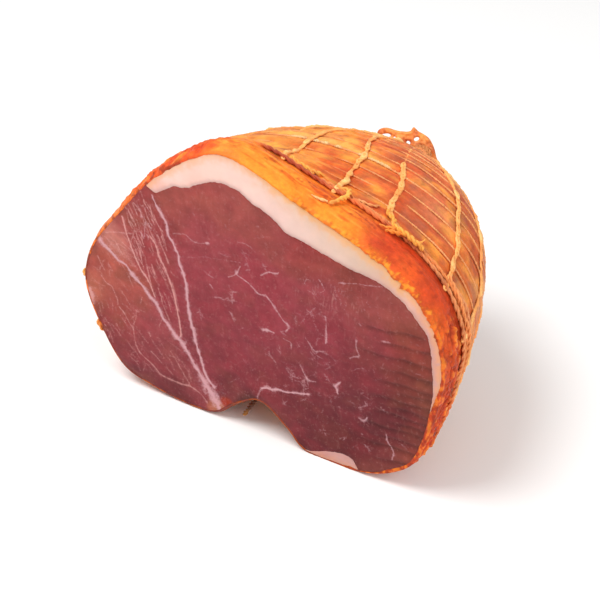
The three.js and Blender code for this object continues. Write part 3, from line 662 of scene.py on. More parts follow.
uneven = add(tree, "ShaderNodeMapRange", {"Value": wobble.outputs["Fac"], "From Min": 0.3, "From Max": 0.7,
                                          "To Min": -0.17, "To Max": 0.17})
less = add(tree, "ShaderNodeMath", {0: uneven.outputs["Result"], 1: 0.8}, operation="MULTIPLY")
pink_edge = add(tree, "ShaderNodeMath", {0: veins, 1: less.outputs["Value"]}, operation="ADD")
pink_share = add(tree, "ShaderNodeMapRange", {"Value": pink_edge.outputs["Value"], "From Min": 0.08,
                                              "From Max": 0.7, "To Max": 0.8},
                 interpolation_type="SMOOTHSTEP")
veined = add(tree, "ShaderNodeMix", {"Factor": pink_share.outputs["Result"], 6: flecked.outputs[2],
                                     7: linear("#dc9d98")}, data_type="RGBA")
white_edge = add(tree, "ShaderNodeMath", {0: seams, 1: uneven.outputs["Result"]}, operation="ADD")
white_share = add(tree, "ShaderNodeMapRange", {"Value": white_edge.outputs["Value"], "From Min": 0.16,
                                               "From Max": 0.95, "To Max": 0.9},
                  interpolation_type="SMOOTHSTEP")
seamed = add(tree, "ShaderNodeMix", {"Factor": white_share.outputs["Result"], 6: veined.outputs[2],
                                     7: linear("#d6a3a8")}, data_type="RGBA")
tree.links.new(seamed.outputs[2], surface.inputs["Base Color"])
surface.inputs["Roughness"].default_value = 0.42
surface.inputs["IOR"].default_value = 1.42
surface.inputs["Specular IOR Level"].default_value = 0.14
surface.inputs["Subsurface Weight"].default_value = 0.12
surface.inputs["Subsurface Radius"].default_value = (1.0, 0.35, 0.25)
surface.inputs["Subsurface Scale"].default_value = 0.0012
relief = add(tree, "ShaderNodeBump", {"Height": speckle.outputs["Fac"], "Strength": 0.25,
                                      "Distance": 0.0004})
tree.links.new(relief.outputs["Normal"], surface.inputs["Normal"])

lean = mesh_piece("lean", lean_points, lean_faces, lean_paint, {
    "tint": np.vstack([tint, np.tile(linear("#7b3438")[:3], (behind, 1))]),
    "white_seam": np.concatenate([white, np.zeros(behind)]),
    "pink_seam": np.concatenate([pink, np.zeros(behind)]),
    "fibrous": np.concatenate([fibres, np.zeros(behind)]),
})
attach(lean, "root")
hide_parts("meat")

# ---- Casing -----------------------------------------------------------------------------------------
# The dried bladder skin round the meat, stained orange by paprika and fat. It is one closed shell,
# thin, glued to the meat by drying: torn along the cut, crumbly on the right, drawn in under the net.
CASING_THICK = 1.2

# Threads lie 10 mm apart behind the groove and closer towards the tail. The chains in sight are lists of
# (distance from the cut, degrees round the heart); the others are spaced evenly.
THREAD_AT = [24 + 10 * i - 0.26 * i * i for i in range(12)]
SEEN_CHAINS = [
    [(20, 86), (34, 92), (48, 97), (60, 101), (95, 110)],
    [(20, 63), (34, 63), (49, 66), (62, 68), (88, 83)],
    [(20, 37), (24, 39), (30, 43), (44, 44), (54, 45), (68, 50), (95, 55)],
    [(19, 18), (30, 19), (45, 19), (57, 22), (75, 24), (95, 29)],
    [(18, 3), (30, 4), (47, 4), (57, 9), (75, 11)],
]
CHAINS = 17


def chain_degrees(chain, y):
    if chain < len(SEEN_CHAINS):
        return softened(SEEN_CHAINS[chain], y, 2.5)
    return 86 - chain * 360 / CHAINS + 15 * smooth(y, 20, 90)


def casing_relief(u, s, points):
    """Height over the smooth casing: dents under the net, wrinkles round it, a torn and crumbly lip."""
    y = points[..., 1]
    degrees = degrees_of(u)
    place = (u % 1) * RIM_LENGTH
    around = np.stack([place, y], -1)
    behind_groove = smooth(s, 17, 22)
    dent = sum(np.exp(-(((y - at) / 1.1) ** 2)) for at in THREAD_AT)
    for chain in range(CHAINS):
        turn_away = (degrees - chain_degrees(chain, y) + 180) % 360 - 180
        dent = np.maximum(dent, 1.2 * np.exp(-((turn_away * 1.3) / 1.6) ** 2))
    tail = 1 - 0.5 * smooth(y, 95, 112)
    covered = smooth(degrees, 93, 101) * (1 - smooth(degrees, 120, 132))
    height = behind_groove * tail * (0.3 - 0.42 * dent)
    height += behind_groove * (0.3 * ripple(around, (22, 3.4), 3, 3) + 0.5 * ripple(points, 21, 4))
    lip = 1 - smooth(s, 11, 14.5)
    crumbly = smooth(degrees, -62, -42) * (1 - smooth(degrees, 9, 17)) * smooth(s, 0.3, 2)
    crumbs = ripple(points, (3.2, 2.4, 6.4), 6, 3)
    pits = np.maximum(0, ripple(points, 4.6, 9, 2) - 0.2)
    height += lip * crumbly * (0.95 * crumbs - 1.8 * pits - 0.9)
    lumpy = smooth(degrees, 92, 104) * (1 - smooth(degrees, 150, 165)) * smooth(s, 0, 1.5)
    height += lip * lumpy * 0.75 * ripple(points, (6, 3, 4), 7, 3)
    smooth_lip = lip * smooth(s, 0.5, 3) * (1 - crumbly) * (1 - lumpy)
    height += smooth_lip * (0.3 * ripple(points, (9, 5, 5), 8, 2) + 0.2 * ripple(around, (7, 1.8), 10, 3))
    height += covered * 1.5 * np.exp(-((s - 13.8) / 2.4) ** 2)
    torn_to = 0.6 + 1.1 * ripple(np.stack([place, place * 0], -1), 4.4, 11, 3)
    torn = smooth(degrees, 12, 18) * (1 - smooth(degrees, 66, 80)) * (1 - smooth(s, torn_to, torn_to + 0.7))
    height += torn * (0.65 + 0.5 * ripple(points, 2.0, 12, 3)) * smooth(s, 0, 0.6)
    return height, {"crumbly": crumbly * lip, "crumbs": crumbs - 2 * pits, "torn": torn,
                    "lumpy": lumpy * lip}


# Rows of the shell: close on the lip, then on both sides of every thread. The inside has few.
lip_rows = np.concatenate([np.arange(0, 16.6, 0.48), [17.2]])
body_rows = [18.2, 19.4, 20.8, 22.2]
for at, after in zip(THREAD_AT, THREAD_AT[1:] + [110.5]):
    body_rows += [at - 0.6, at + 0.6, at + 1.8] + list(np.linspace(at + 1.8, after - 1.8, 4)[1:])
body_rows = np.array(sorted(set(np.round(body_rows, 2)))[2:] + [111.5, 113, 114.5, 116, 117, 118])
under_rows = np.array([112.0, 96, 76, 56, 38, 24, 17, 14, 9, 3])

shell_points, shell_loops, shell_values = [], [], []


def shell_row(u, points, values):
    start = sum(len(p) for p in shell_points)
    shell_points.append(points)
    shell_values.append(values)
    shell_loops.append(list(range(start, start + len(u))))


for band, band_columns in ((lip_rows, columns), (body_rows, columns[::3])):
    grid_u, grid_s = np.meshgrid(band_columns, band)
    base = skin(grid_u, grid_s)
    height, marks = casing_relief(grid_u, grid_s, base)
    raised = base + directions(grid_u, grid_s)[1] * height[..., None]
    raised[..., 2] = np.maximum(raised[..., 2], 0)
    if band is lip_rows:
        raised[0, :, 1] = -0.25 * np.maximum(0, marks["torn"][1])
        raised[1:, :, 1] = np.maximum(raised[1:, :, 1], 0.05)
    for k in range(len(band)):
        shell_row(band_columns, raised[k], {"u": grid_u[k], "s": grid_s[k],
                                            **{key: value[k] for key, value in marks.items()}})
tip = shell_points[-1].mean(0, keepdims=True) + [[0, 0.4, 0]]
outside_rows = len(shell_points)
level = np.ones(len(columns[::3]))
calm = {key: 0 * level for key in shell_values[0]}
for s in under_rows:
    inside = over(columns[::3], s * level, -CASING_THICK * level)
    shell_row(columns[::3], inside, {**calm, "u": columns[::3], "s": s * level})
deep = cut_point(columns, casing_depth)
top = shell_points[0]
for share in (1.0, 0.66, 0.33):
    band_points = top + (deep - top) * share
    roughness = ripple(band_points, 1.6, 14, 2) * 0.18 * math.sin(math.pi * share)
    band_points[:, 1] = roughness - 0.12 * math.sin(math.pi * share) * (1 + 2 * shell_values[1]["torn"])
    shell_row(columns, band_points, {**shell_values[0], "s": np.full(COLUMNS, -share)})
casing_points = np.vstack(shell_points + [tip, shell_points[outside_rows].mean(0, keepdims=True)])
last_outer, first_under = shell_loops[outside_rows - 1], shell_loops[outside_rows]
tip_number, hollow_number = len(casing_points) - 2, len(casing_points) - 1
casing_faces = joined(shell_loops[:outside_rows]) + joined(shell_loops[outside_rows:] + [shell_loops[0]])
casing_faces += [(a, b, tip_number) for a, b in zip(last_outer, last_outer[1:] + last_outer[:1])]
casing_faces += [(b, a, hollow_number) for a, b in zip(first_under, first_under[1:] + first_under[:1])]
marks = {key: np.concatenate([v[key] for v in shell_values] + [[0, 0]]) for key in shell_values[0]}
marks["s"][-2:] = LENGTH

# Colours of the casing as (degrees, row, reach, hex): on the lip, then behind the groove.
# They are partly painted light and shade: yellower on top near the cut, and darker brown on the right and
# underneath.
LIP_PATCHES = [
    (170, 5, 16, "#f07f30"), (150, 2, 9, "#ef7430"), (135, 2, 9, "#e9602a"), (122, 2, 8, "#e75828"),
    (112, 3, 7, "#ee602a"), (103, 2, 6, "#f67f30"), (96, 8, 8, "#fb9030"), (84, 2, 5, "#ff9f36"),
    (88, 9, 7, "#f98a2c"), (72, 2, 5, "#ff9e34"), (74, 9, 6, "#f47f28"), (66, 5, 4, "#ec6a22"),
    (60, 2, 5, "#fe9a34"), (58, 8, 6, "#f88a2c"), (62, 12, 4, "#e06a26"), (50, 2, 5, "#ff9e34"),
    (50, 6, 4, "#ee7a2a"), (44, 8, 5, "#dc5a2c"), (40, 4, 3.4, "#c23e22"), (46, 12, 4, "#e87834"),
    (44, 3, 3, "#e46a2c"), (40, 0, 3, "#ff8e2c"), (33, 8, 6, "#cf4824"), (30, 4, 4, "#ee6a26"),
    (30, 12, 4, "#c8401e"), (24, 8, 7, "#cc4a20"), (22, 12, 5, "#b93c1c"), (16, 9, 6, "#c4441f"),
    (26, 0, 3, "#ee6c26"), (33, 3.5, 3, "#d4502a"), (25, 3.5, 3, "#cc4a24"), (14, 1, 4, "#f27222"),
    (8, 11, 5, "#a8381c"), (8, 5, 6, "#dd5a1e"), (0, 5, 8, "#c64a1c"), (-12, 5, 8, "#bf421a"),
    (-26, 5, 9, "#c8441a"), (-40, 5, 9, "#bc4416"), (-52, 5, 8, "#a84216"), (-75, 5, 14, "#a04c22"),
    (-100, 5, 14, "#a04c22"), (-140, 5, 20, "#bf6226"),
]
BODY_PATCHES = [
    (170, 40, 30, "#f08f38"), (135, 30, 22, "#fb9a38"), (125, 62, 16, "#ffb65a"), (112, 28, 12, "#ffa63c"),
    (100, 24, 7, "#f68a30"), (98, 40, 9, "#ffa83e"), (90, 27, 6, "#ffa83a"), (84, 34, 7, "#fb8e30"),
    (93, 51, 8, "#ffa050"), (102, 68, 9, "#ffb45c"), (86, 65, 6, "#ffb458"), (76, 24, 7, "#ef7f2e"),
    (74, 40, 7, "#e2672c"), (84, 54, 4, "#d8622e"), (68, 64, 5, "#ffae54"), (57, 62, 4, "#ffa24e"),
    (70, 52, 7, "#c9562c"), (66, 30, 7, "#f58c34"), (58, 30, 7, "#fc9836"), (50, 33, 5, "#ffa044"),
    (54, 42, 6, "#e6703a"), (71, 48, 5, "#dd5c2c"), (33, 54, 6, "#de8658"), (62, 44, 5, "#d4602e"),
    (50, 52, 8, "#d86a3c"), (48, 26, 5, "#c85a30"), (40, 27, 6, "#d86e3a"), (38, 40, 8, "#c85e3a"),
    (34, 58, 9, "#cc6440"), (28, 30, 7, "#cf6636"), (30, 44, 7, "#c86440"), (20, 24, 6, "#dd7838"),
    (14, 44, 9, "#d8763c"), (12, 30, 6, "#c8602c"), (6, 28, 8, "#d07034"), (0, 55, 11, "#c66a3e"),
    (-14, 32, 10, "#b55a2c"), (-18, 60, 13, "#a85a34"), (-40, 40, 16, "#a8552c"), (-80, 50, 28, "#a25229"),
    (-130, 50, 28, "#b4602c"), (60, 80, 16, "#e0703a"), (30, 80, 10, "#dd7648"), (56, 92, 9, "#f08e50"),
    (0, 88, 16, "#b8602f"), (100, 90, 18, "#e8803c"), (60, 105, 16, "#cc5f30"), (0, 108, 20, "#b45a30"),
    (-70, 100, 30, "#a8552e"), (150, 100, 30, "#d87a32"),
]
degrees, row, back = degrees_of(marks["u"]), marks["s"], casing_points[:, 1]
place_y = np.stack([marks["u"] * RIM_LENGTH, back], -1)
around_back = np.stack([np.where(degrees < -150, degrees + 360, degrees), np.maximum(row, 0)], -1)
behind = smooth(row, 13, 16)
in_front = 1 - behind
casing_tint = patchwork(around_back, LIP_PATCHES, 1.2) * in_front[:, None]
casing_tint += patchwork(around_back, BODY_PATCHES, 1.2) * behind[:, None]
casing_tint *= [1.0, 0.9, 0.75]

# What the washes follow: streaks round the piece, clouds, crumbs, flakes, and parts of the lip.
long_streaks = ripple(place_y, (26, 4.6), 21, 3)
wide_spots = ripple(casing_points, (19, 15, 15), 29, 3)
blotches = ripple(casing_points, 11, 22, 3)
flakes = smooth(ripple(casing_points, 2.2, 33, 3), -0.25, 0.35)
fine_crumbs = ripple(casing_points, (1.9, 1.9, 3.6), 30, 3)
lip_streaks = ripple(place_y, (14, 1.6), 26, 3) * in_front * smooth(row, 1.5, 4)
lip_streaks *= 1 - 0.75 * smooth(degrees, 2, 14) * (1 - smooth(degrees, 38, 52))
firm = 1 - marks["crumbly"]
right_side = (1 - smooth(degrees, 45, 75)) * smooth(degrees, -70, -30)
crumb_band = (row < 1.0) * smooth(degrees, -62, -46) * (1 - smooth(degrees, 11, 18))
# Patchy dark brown along the lowest left part of the rim.
under_left = smooth(-degrees, 70, 100) * (degrees < 0) * (row < 1.2)
dark_patches = smooth(ripple(casing_points, 7, 27, 2), -0.35, 0.1)
left_rim = (row < 1.5) * (np.abs(degrees) > 118) * smooth(ripple(casing_points, 4.5, 28, 3), -0.1, 0.45)
red_flecks = in_front * smooth(ripple(casing_points, (4, 2.6, 2.6), 24, 3), 0.52, 0.8) * smooth(row, 3, 7)
# Painted shade in the floor of the groove under the rolled edge, except where the groove is covered.
painted_groove_shade = smooth(row, 12.6, 13.6) * (1 - smooth(row, 14.4, 15.4))
hidden_groove = smooth(degrees, 92, 99) * (1 - smooth(degrees, 121, 132))

# Washes laid one over the other, as (hex, share of it at each point).
washes = [
    ("#a83a16", behind * smooth(long_streaks, 0.12, 0.8) * 0.55),
    ("#c44c1e", behind * smooth(wide_spots, 0.1, 0.7) * 0.55),
    ("#ffab42", behind * smooth(-wide_spots, 0.1, 0.7) * 0.5),
    ("#ffb04c", behind * smooth(-long_streaks, 0.2, 0.9) * 0.5),
]
# Single spots as (degrees, distance from the cut, half width, half length, hex, share).
SPOTS = [
    (71, 48.5, 8, 3, "#cc5228", 0.8), (84, 54, 6, 3, "#c04a28", 0.65), (58, 51, 5, 3, "#cd5a30", 0.6),
    (101, 65, 14, 6, "#ffbe6a", 0.6), (70, 61, 13, 3.4, "#ffb65c", 0.7), (30, 53, 6, 8, "#d98460", 0.5),
    (40.5, 4.6, 3.2, 3, "#b63c24", 0.7), (88, 31, 7, 4, "#ffae44", 0.5), (46, 74, 9, 7, "#c6563a", 0.45),
]
for middle, at, wide, long, hex_colour, share in SPOTS:
    near = np.exp(-((degrees - middle) / wide) ** 2 - ((back - at) / long) ** 2)
    washes.append((hex_colour, near * share))
washes += [
    ("#a06048", behind * right_side * smooth(blotches, 0.25, 0.8) * 0.45),
    ("#ff9c2e", marks["torn"] * (0.15 + 0.65 * flakes)),
    ("#c8481c", marks["torn"] * (1 - flakes) * 0.5),
    ("#c23e16", smooth(lip_streaks, 0.12, 0.7) * firm * 0.55),
    ("#ffb048", smooth(-lip_streaks, 0.2, 0.8) * firm * 0.4),
    # Deep red-brown in the pits of the crumbly lip, partly its own colour and partly painted shade.
    ("#86240e", marks["crumbly"] * smooth(-marks["crumbs"], 0.0, 0.85) * 0.85),
    ("#86260f", crumb_band * smooth(-fine_crumbs, 0.1, 0.7) * 0.65),
    ("#f08426", crumb_band * smooth(fine_crumbs, 0.05, 0.6) * 0.75),
    ("#7c302a", under_left * dark_patches * 0.9),
    ("#f58a2a", marks["crumbly"] * smooth(marks["crumbs"], 0.25, 0.9) * 0.75),
    ("#cf3f18", marks["lumpy"] * smooth(-blotches, 0.05, 0.55) * 0.6),
    ("#98341a", left_rim * 0.75),
    ("#ff9a38", marks["lumpy"] * smooth(blotches, 0.0, 0.5) * 0.6),
    ("#a62f16", red_flecks * 0.55),
    ("#98300f", painted_groove_shade * (1 - hidden_groove) * 0.45),
]
for hex_colour, share in washes:
    casing_tint = toward(casing_tint, hex_colour, share)

# Dried bladder: leathery and a little greasy, with creases 9 mm long and 1.6 mm wide that run round
# the piece, grit of 1.6 mm and clouds of 7 mm.
casing_paint, tree, surface = material_of("dried_bladder_casing_paprika")
where = add(tree, "ShaderNodeTexCoord").outputs["Object"]
along_map = add(tree, "ShaderNodeUVMap", uv_map="around_and_along").outputs["UV"]
casing_colour = add(tree, "ShaderNodeAttribute", attribute_name="tint").outputs["Color"]
stretch = add(tree, "ShaderNodeMapping", {"Vector": along_map, "Scale": (1000 / 9.091, 1000 / 1.613, 1.0)})
creases = add(tree, "ShaderNodeTexNoise", {"Vector": stretch.outputs["Vector"], "Scale": 1.0, "Detail": 4.0,
                                           "Roughness": 0.6})
grit = add(tree, "ShaderNodeTexNoise", {"Vector": where, "Scale": 1000 / 1.613, "Detail": 4.0,
                                        "Roughness": 0.65})
crease_shade = add(tree, "ShaderNodeMapRange", {"Value": creases.outputs["Fac"], "From Min": 0.32,
                                                "From Max": 0.68, "To Min": 0.93, "To Max": 1.07})
grit_shade = add(tree, "ShaderNodeMapRange", {"Value": grit.outputs["Fac"], "From Min": 0.3,
                                              "From Max": 0.7, "To Min": 0.86, "To Max": 1.12})
cloudy = add(tree, "ShaderNodeTexNoise", {"Vector": where, "Scale": 1000 / 6.667, "Detail": 5.0,
                                          "Roughness": 0.62})
cloud_shade = add(tree, "ShaderNodeMapRange", {"Value": cloudy.outputs["Fac"], "From Min": 0.32,
                                               "From Max": 0.68, "To Min": 0.8, "To Max": 1.2})
both = add(tree, "ShaderNodeMath", {0: crease_shade.outputs["Result"], 1: grit_shade.outputs["Result"]},
           operation="MULTIPLY")
clouded = add(tree, "ShaderNodeMath", {0: both.outputs["Value"], 1: cloud_shade.outputs["Result"]},
              operation="MULTIPLY")
shaded = add(tree, "ShaderNodeVectorMath", {0: casing_colour, "Scale": clouded.outputs["Value"]},
             operation="SCALE")
tree.links.new(shaded.outputs["Vector"], surface.inputs["Base Color"])
surface.inputs["Roughness"].default_value = 0.48
surface.inputs["IOR"].default_value = 1.45
surface.inputs["Specular IOR Level"].default_value = 0.22
surface.inputs["Subsurface Weight"].default_value = 0.08
surface.inputs["Subsurface Radius"].default_value = (1.0, 0.4, 0.15)
surface.inputs["Subsurface Scale"].default_value = 0.001
mixed = add(tree, "ShaderNodeMath", {0: creases.outputs["Fac"], 1: grit.outputs["Fac"]}, operation="ADD")
relief = add(tree, "ShaderNodeBump", {"Height": mixed.outputs["Value"], "Strength": 0.5,
                                      "Distance": 0.0006})
tree.links.new(relief.outputs["Normal"], surface.inputs["Normal"])

casing = mesh_piece("casing", casing_points, casing_faces, casing_paint, {"tint": casing_tint})
uv = casing.data.uv_layers.new(name="around_and_along")
corner_points = np.zeros(len(casing.data.loops), np.int32)
casing.data.loops.foreach_get("vertex_index", corner_points)
uv.data.foreach_set("uv", (place_y[corner_points] / 1000).ravel())
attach(casing, "root")
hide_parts("meat")

# ---- Fat --------------------------------------------------------------------------------------------
# The firm white back fat left on the top of the muscle and a small wedge of it underneath: layers
# between lean and casing, open only at the cut.

# Back fat: waxy, smooth and a little see-through, with faint clouds of 6 mm.
fat_paint, tree, surface = material_of("cured_back_fat_waxy")
where = add(tree, "ShaderNodeTexCoord").outputs["Object"]
fat_colour = add(tree, "ShaderNodeAttribute", attribute_name="tint").outputs["Color"]
marble = add(tree, "ShaderNodeTexNoise", {"Vector": where, "Scale": 1000 / 6.25, "Detail": 4.0,
                                          "Roughness": 0.55})
fat_shade = add(tree, "ShaderNodeMapRange", {"Value": marble.outputs["Fac"], "From Min": 0.3,
                                             "From Max": 0.7, "To Min": 0.96, "To Max": 1.04})
shaded = add(tree, "ShaderNodeVectorMath", {0: fat_colour, "Scale": fat_shade.outputs["Result"]},
             operation="SCALE")
tree.links.new(shaded.outputs["Vector"], surface.inputs["Base Color"])
surface.inputs["Roughness"].default_value = 0.38
surface.inputs["IOR"].default_value = 1.45
surface.inputs["Subsurface Weight"].default_value = 0.35
surface.inputs["Subsurface Radius"].default_value = (1.0, 0.6, 0.45)
surface.inputs["Subsurface Scale"].default_value = 0.0025
relief = add(tree, "ShaderNodeBump", {"Height": marble.outputs["Fac"], "Strength": 0.2, "Distance": 0.0005})
tree.links.new(relief.outputs["Normal"], surface.inputs["Normal"])

# How far the fat lies under the casing's outside behind the cut.
FAT_UNDER = 1.28
# The fat's patches are partly painted light and shade: brightest on the upper left, greyer and darker to the
# right and down.
FAT_PATCHES = [
    (-50, 120, 6, "#f4c4b4"), (-40, 128, 8, "#ffdccb"), (-30, 134, 8, "#ffd7c4"), (-16, 138, 9, "#fedbc9"),
    (-2, 137, 9, "#fbdccb"), (12, 131, 9, "#f7d8c9"), (26, 124, 9, "#f0d4c4"), (40, 119, 9, "#ead0bc"),
    (54, 115, 8, "#dfc6b2"), (66, 111, 7, "#e0bcab"), (76, 106, 7, "#eebfaf"), (84, 98, 6, "#dfae9d"),
    (88, 88, 6, "#dcaa9b"), (90, 76, 6, "#d8a596"), (92, 66, 5, "#d8a899"), (92, 57, 4, "#c9938a"),
    (36, 3, 5, "#c98f80"), (44, 6, 5, "#cf9f95"), (52, 6, 4, "#d2a398"),
]


def fat_piece(name, node, first, last, length, rows_across, rows_back):
    """A layer of fat from one place round the rim to another, length mm deep."""
    chosen = np.flatnonzero((places > first) & (places < last))
    u = columns[chosen]
    outside, inside = casing_depth[chosen], np.maximum(lean_depth[chosen], casing_depth[chosen] + 0.04)
    shares = np.linspace(0, 1, rows_across)
    layers = [[cut_point(u, outside + (inside - outside) * share) for share in shares]]
    for s in rows_back:
        thinning = math.sqrt(max(0.0, 1 - 0.96 * (s / length) ** 2))
        layers.append([over(u, np.full(len(u), float(s)),
                            -FAT_UNDER - (inside - outside) * thinning * share)
                       for share in (0, 0.5, 1)])
    swell = np.sin(np.pi * shares)
    for share_number, line in enumerate(layers[0]):
        line[:, 1] = -0.25 * swell[share_number] - 0.08 * ripple(line, 5, 31, 2) * swell[share_number]
    points, faces = [], []

    def strip(lines):
        start = sum(len(p) for p in points)
        points.extend(lines)
        return [np.arange(start + k * len(u), start + (k + 1) * len(u)) for k in range(len(lines))]

    face_rows = strip(layers[0])
    for a, b in zip(face_rows, face_rows[1:]):
        faces += [(a[j], a[j + 1], b[j + 1], b[j]) for j in range(len(u) - 1)]
    ring = [face_rows[0], face_rows[rows_across // 2], face_rows[-1]]
    sides = [[row[0] for row in face_rows], [row[-1] for row in face_rows]]
    for layer in layers[1:]:
        rows = strip(layer)
        for edge_number in (0, 2):
            a, b = ring[edge_number], rows[edge_number]
            faces += [(a[j], a[j + 1], b[j + 1], b[j]) for j in range(len(u) - 1)]
        for end in (0, -1):
            here = sides[0 if end == 0 else 1]
            there = [rows[k][end] for k in range(3)]
            if len(here) == 3:
                faces += [(here[k], here[k + 1], there[k + 1], there[k]) for k in (0, 1)]
            else:
                half = len(here) // 2
                faces += [(here[k], here[k + 1], there[0]) for k in range(half // 2)]
                faces += [(here[half // 2], there[1], there[0])]
                faces += [(here[k], here[k + 1], there[1]) for k in range(half // 2, half + half // 2)]
                faces += [(here[half + half // 2], there[2], there[1])]
                faces += [(here[k], here[k + 1], there[2]) for k in range(half + half // 2, len(here) - 1)]
        sides = [[rows[k][0] for k in range(3)], [rows[k][-1] for k in range(3)]]
        ring = rows
    for a, b in zip(ring, ring[1:]):
        faces += [(a[j], a[j + 1], b[j + 1], b[j]) for j in range(len(u) - 1)]
    points = np.vstack(points)
    colours = patchwork(points[:, [0, 2]], FAT_PATCHES, 1.2) * [0.95, 0.87, 0.9]
    below = np.zeros(len(points))
    for share_number, row in enumerate(face_rows):
        below[row] = shares[share_number] * (inside - outside)
    front_count = rows_across * len(u)
    rub = np.zeros(len(points))
    bleed = 2.6 + 1.5 * ripple(points[:front_count], 3.4, 32, 3)
    rub[:front_count] = np.exp(-(below[:front_count] / np.maximum(bleed, 0.6)) ** 2)
    yellowing = smooth(points[:, 0], -12, 20) * (1 - smooth(points[:, 0], 72, 84))
    below_notch = points[:, 2] < 20
    colours = toward(colours, "#f2a460", rub * (0.55 + 0.3 * yellowing) * np.where(below_notch, 0.3, 1))
    yellowing = np.where(below_notch, 0, yellowing)
    stained = np.zeros(len(points))
    stained[:front_count] = np.exp(-(below[:front_count] / 6) ** 2)
    colours = toward(colours, "#e2b078", stained * yellowing * 0.45)
    blush = np.zeros(len(points))
    for share_number, row in enumerate(face_rows):
        blush[row] = np.exp(-(((1 - shares[share_number]) * (inside - outside)) / 1.6) ** 2)
    colours = toward(colours, "#c98f88", blush * 0.55)
    piece = mesh_piece(name, points, faces, fat_paint, {"tint": colours})
    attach(piece, "root")
    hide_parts(node)


fat_piece("fat_cap_layer", "fat_cap", FAT_FROM, FAT_TO, FAT_LENGTH, 25, [3, 9, 14, 22, 34, 48, 62, 76, 90])
fat_piece("underside_fat_wedge", "underside_fat", WEDGE_FROM, WEDGE_TO, WEDGE_LENGTH, 17,
          [3, 8, 14, 24, 34, 45])

# ---- Net --------------------------------------------------------------------------------------------
# Elastic cotton net, knitted as chains of loops that run from the cut to the tail, with thin threads
# laid across them round the piece. Its tight front edge is rolled into a twisted cord in the groove.

# Cotton soaked with fat: matt, faintly fluffy at 1.1 mm, which is coarser than real lint so that it
# shows, and stained in patches of 8 mm.
yarn_paint, tree, surface = material_of("cotton_yarn_fat_soaked")
where = add(tree, "ShaderNodeTexCoord").outputs["Object"]
yarn_colour = add(tree, "ShaderNodeAttribute", attribute_name="tint").outputs["Color"]
fluff = add(tree, "ShaderNodeTexNoise", {"Vector": where, "Scale": 1000 / 1.111, "Detail": 4.0,
                                         "Roughness": 0.7})
stain = add(tree, "ShaderNodeTexNoise", {"Vector": where, "Scale": 1000 / 7.692, "Detail": 3.0})
fluff_shade = add(tree, "ShaderNodeMapRange", {"Value": fluff.outputs["Fac"], "From Min": 0.3,
                                               "From Max": 0.7, "To Min": 0.84, "To Max": 1.12})
shaded = add(tree, "ShaderNodeVectorMath", {0: yarn_colour, "Scale": fluff_shade.outputs["Result"]},
             operation="SCALE")
stain_share = add(tree, "ShaderNodeMapRange", {"Value": stain.outputs["Fac"], "From Min": 0.5,
                                               "From Max": 0.75, "To Min": 0.0, "To Max": 0.45})
stained = add(tree, "ShaderNodeMix", {"Factor": stain_share.outputs["Result"], 6: shaded.outputs["Vector"],
                                      7: linear("#e07828")}, data_type="RGBA")
tree.links.new(stained.outputs[2], surface.inputs["Base Color"])
surface.inputs["Roughness"].default_value = 0.62
surface.inputs["Sheen Weight"].default_value = 0.08
surface.inputs["Sheen Roughness"].default_value = 0.4
relief = add(tree, "ShaderNodeBump", {"Height": fluff.outputs["Fac"], "Strength": 0.5, "Distance": 0.0003})
tree.links.new(relief.outputs["Normal"], surface.inputs["Normal"])


def guide(name, lines, closed=False):
    """Polylines in mm with the outward direction, colour and size at each point, as a mesh of edges."""
    mesh = bpy.data.meshes.new(name)
    points, edges, ups, colours, sizes = [], [], [], [], []
    for line in lines:
        start = len(points)
        count = len(line["points"])
        points += ((line["points"] + SHIFT) / 1000).tolist()
        edges += [(start + k, start + k + 1) for k in range(count - 1)]
        if closed:
            edges.append((start + count - 1, start))
        ups.append(line["up"])
        colours.append(line["colour"])
        sizes.append(line.get("size", np.ones(count)))
    mesh.from_pydata(points, edges, [])
    up = mesh.attributes.new("up", "FLOAT_VECTOR", "POINT")
    up.data.foreach_set("vector", np.vstack(ups).ravel())
    colour = mesh.attributes.new("tint", "FLOAT_COLOR", "POINT")
    colour.data.foreach_set("color", np.hstack([np.vstack(colours), np.ones((len(points), 1))]).ravel())
    size = mesh.attributes.new("size", "FLOAT", "POINT")
    size.data.foreach_set("value", np.concatenate(sizes))
    piece = bpy.data.objects.new(name, mesh)
    bpy.context.scene.collection.objects.link(piece)
    return piece


def node_tree(name, sizes):
    """A geometry tree with named inputs for its sizes."""
    tree = bpy.data.node_groups.new(name, "GeometryNodeTree")
    tree.interface.new_socket("Geometry", in_out="INPUT", socket_type="NodeSocketGeometry")
    tree.interface.new_socket("Geometry", in_out="OUTPUT", socket_type="NodeSocketGeometry")
    for key, value in sizes.items():
        kind = "NodeSocketInt" if isinstance(value, int) else "NodeSocketFloat"
        tree.interface.new_socket(key, in_out="INPUT", socket_type=kind)
    return tree, add(tree, "NodeGroupInput").outputs


def grown(name, source, tree, sizes):
    """Runs a geometry tree over a guide and keeps the result as a plain piece of the net."""
    modifier = source.modifiers.new(name, "NODES")
    modifier.node_group = tree
    for item in tree.interface.items_tree:
        if item.item_type == "SOCKET" and item.in_out == "INPUT" and item.name in sizes:
            modifier[item.identifier] = sizes[item.name]
    graph = bpy.context.evaluated_depsgraph_get()
    graph.update()
    mesh = bpy.data.meshes.new_from_object(source.evaluated_get(graph), preserve_all_data_layers=True,
                                           depsgraph=graph)
    mesh.name = name
    source.modifiers.remove(modifier)
    bpy.data.objects.remove(source)
    mesh.materials.clear()
    mesh.materials.append(yarn_paint)
    mesh.shade_smooth()
    piece = bpy.data.objects.new(name, mesh)
    bpy.context.scene.collection.objects.link(piece)
    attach(piece, "root")
    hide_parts("net")


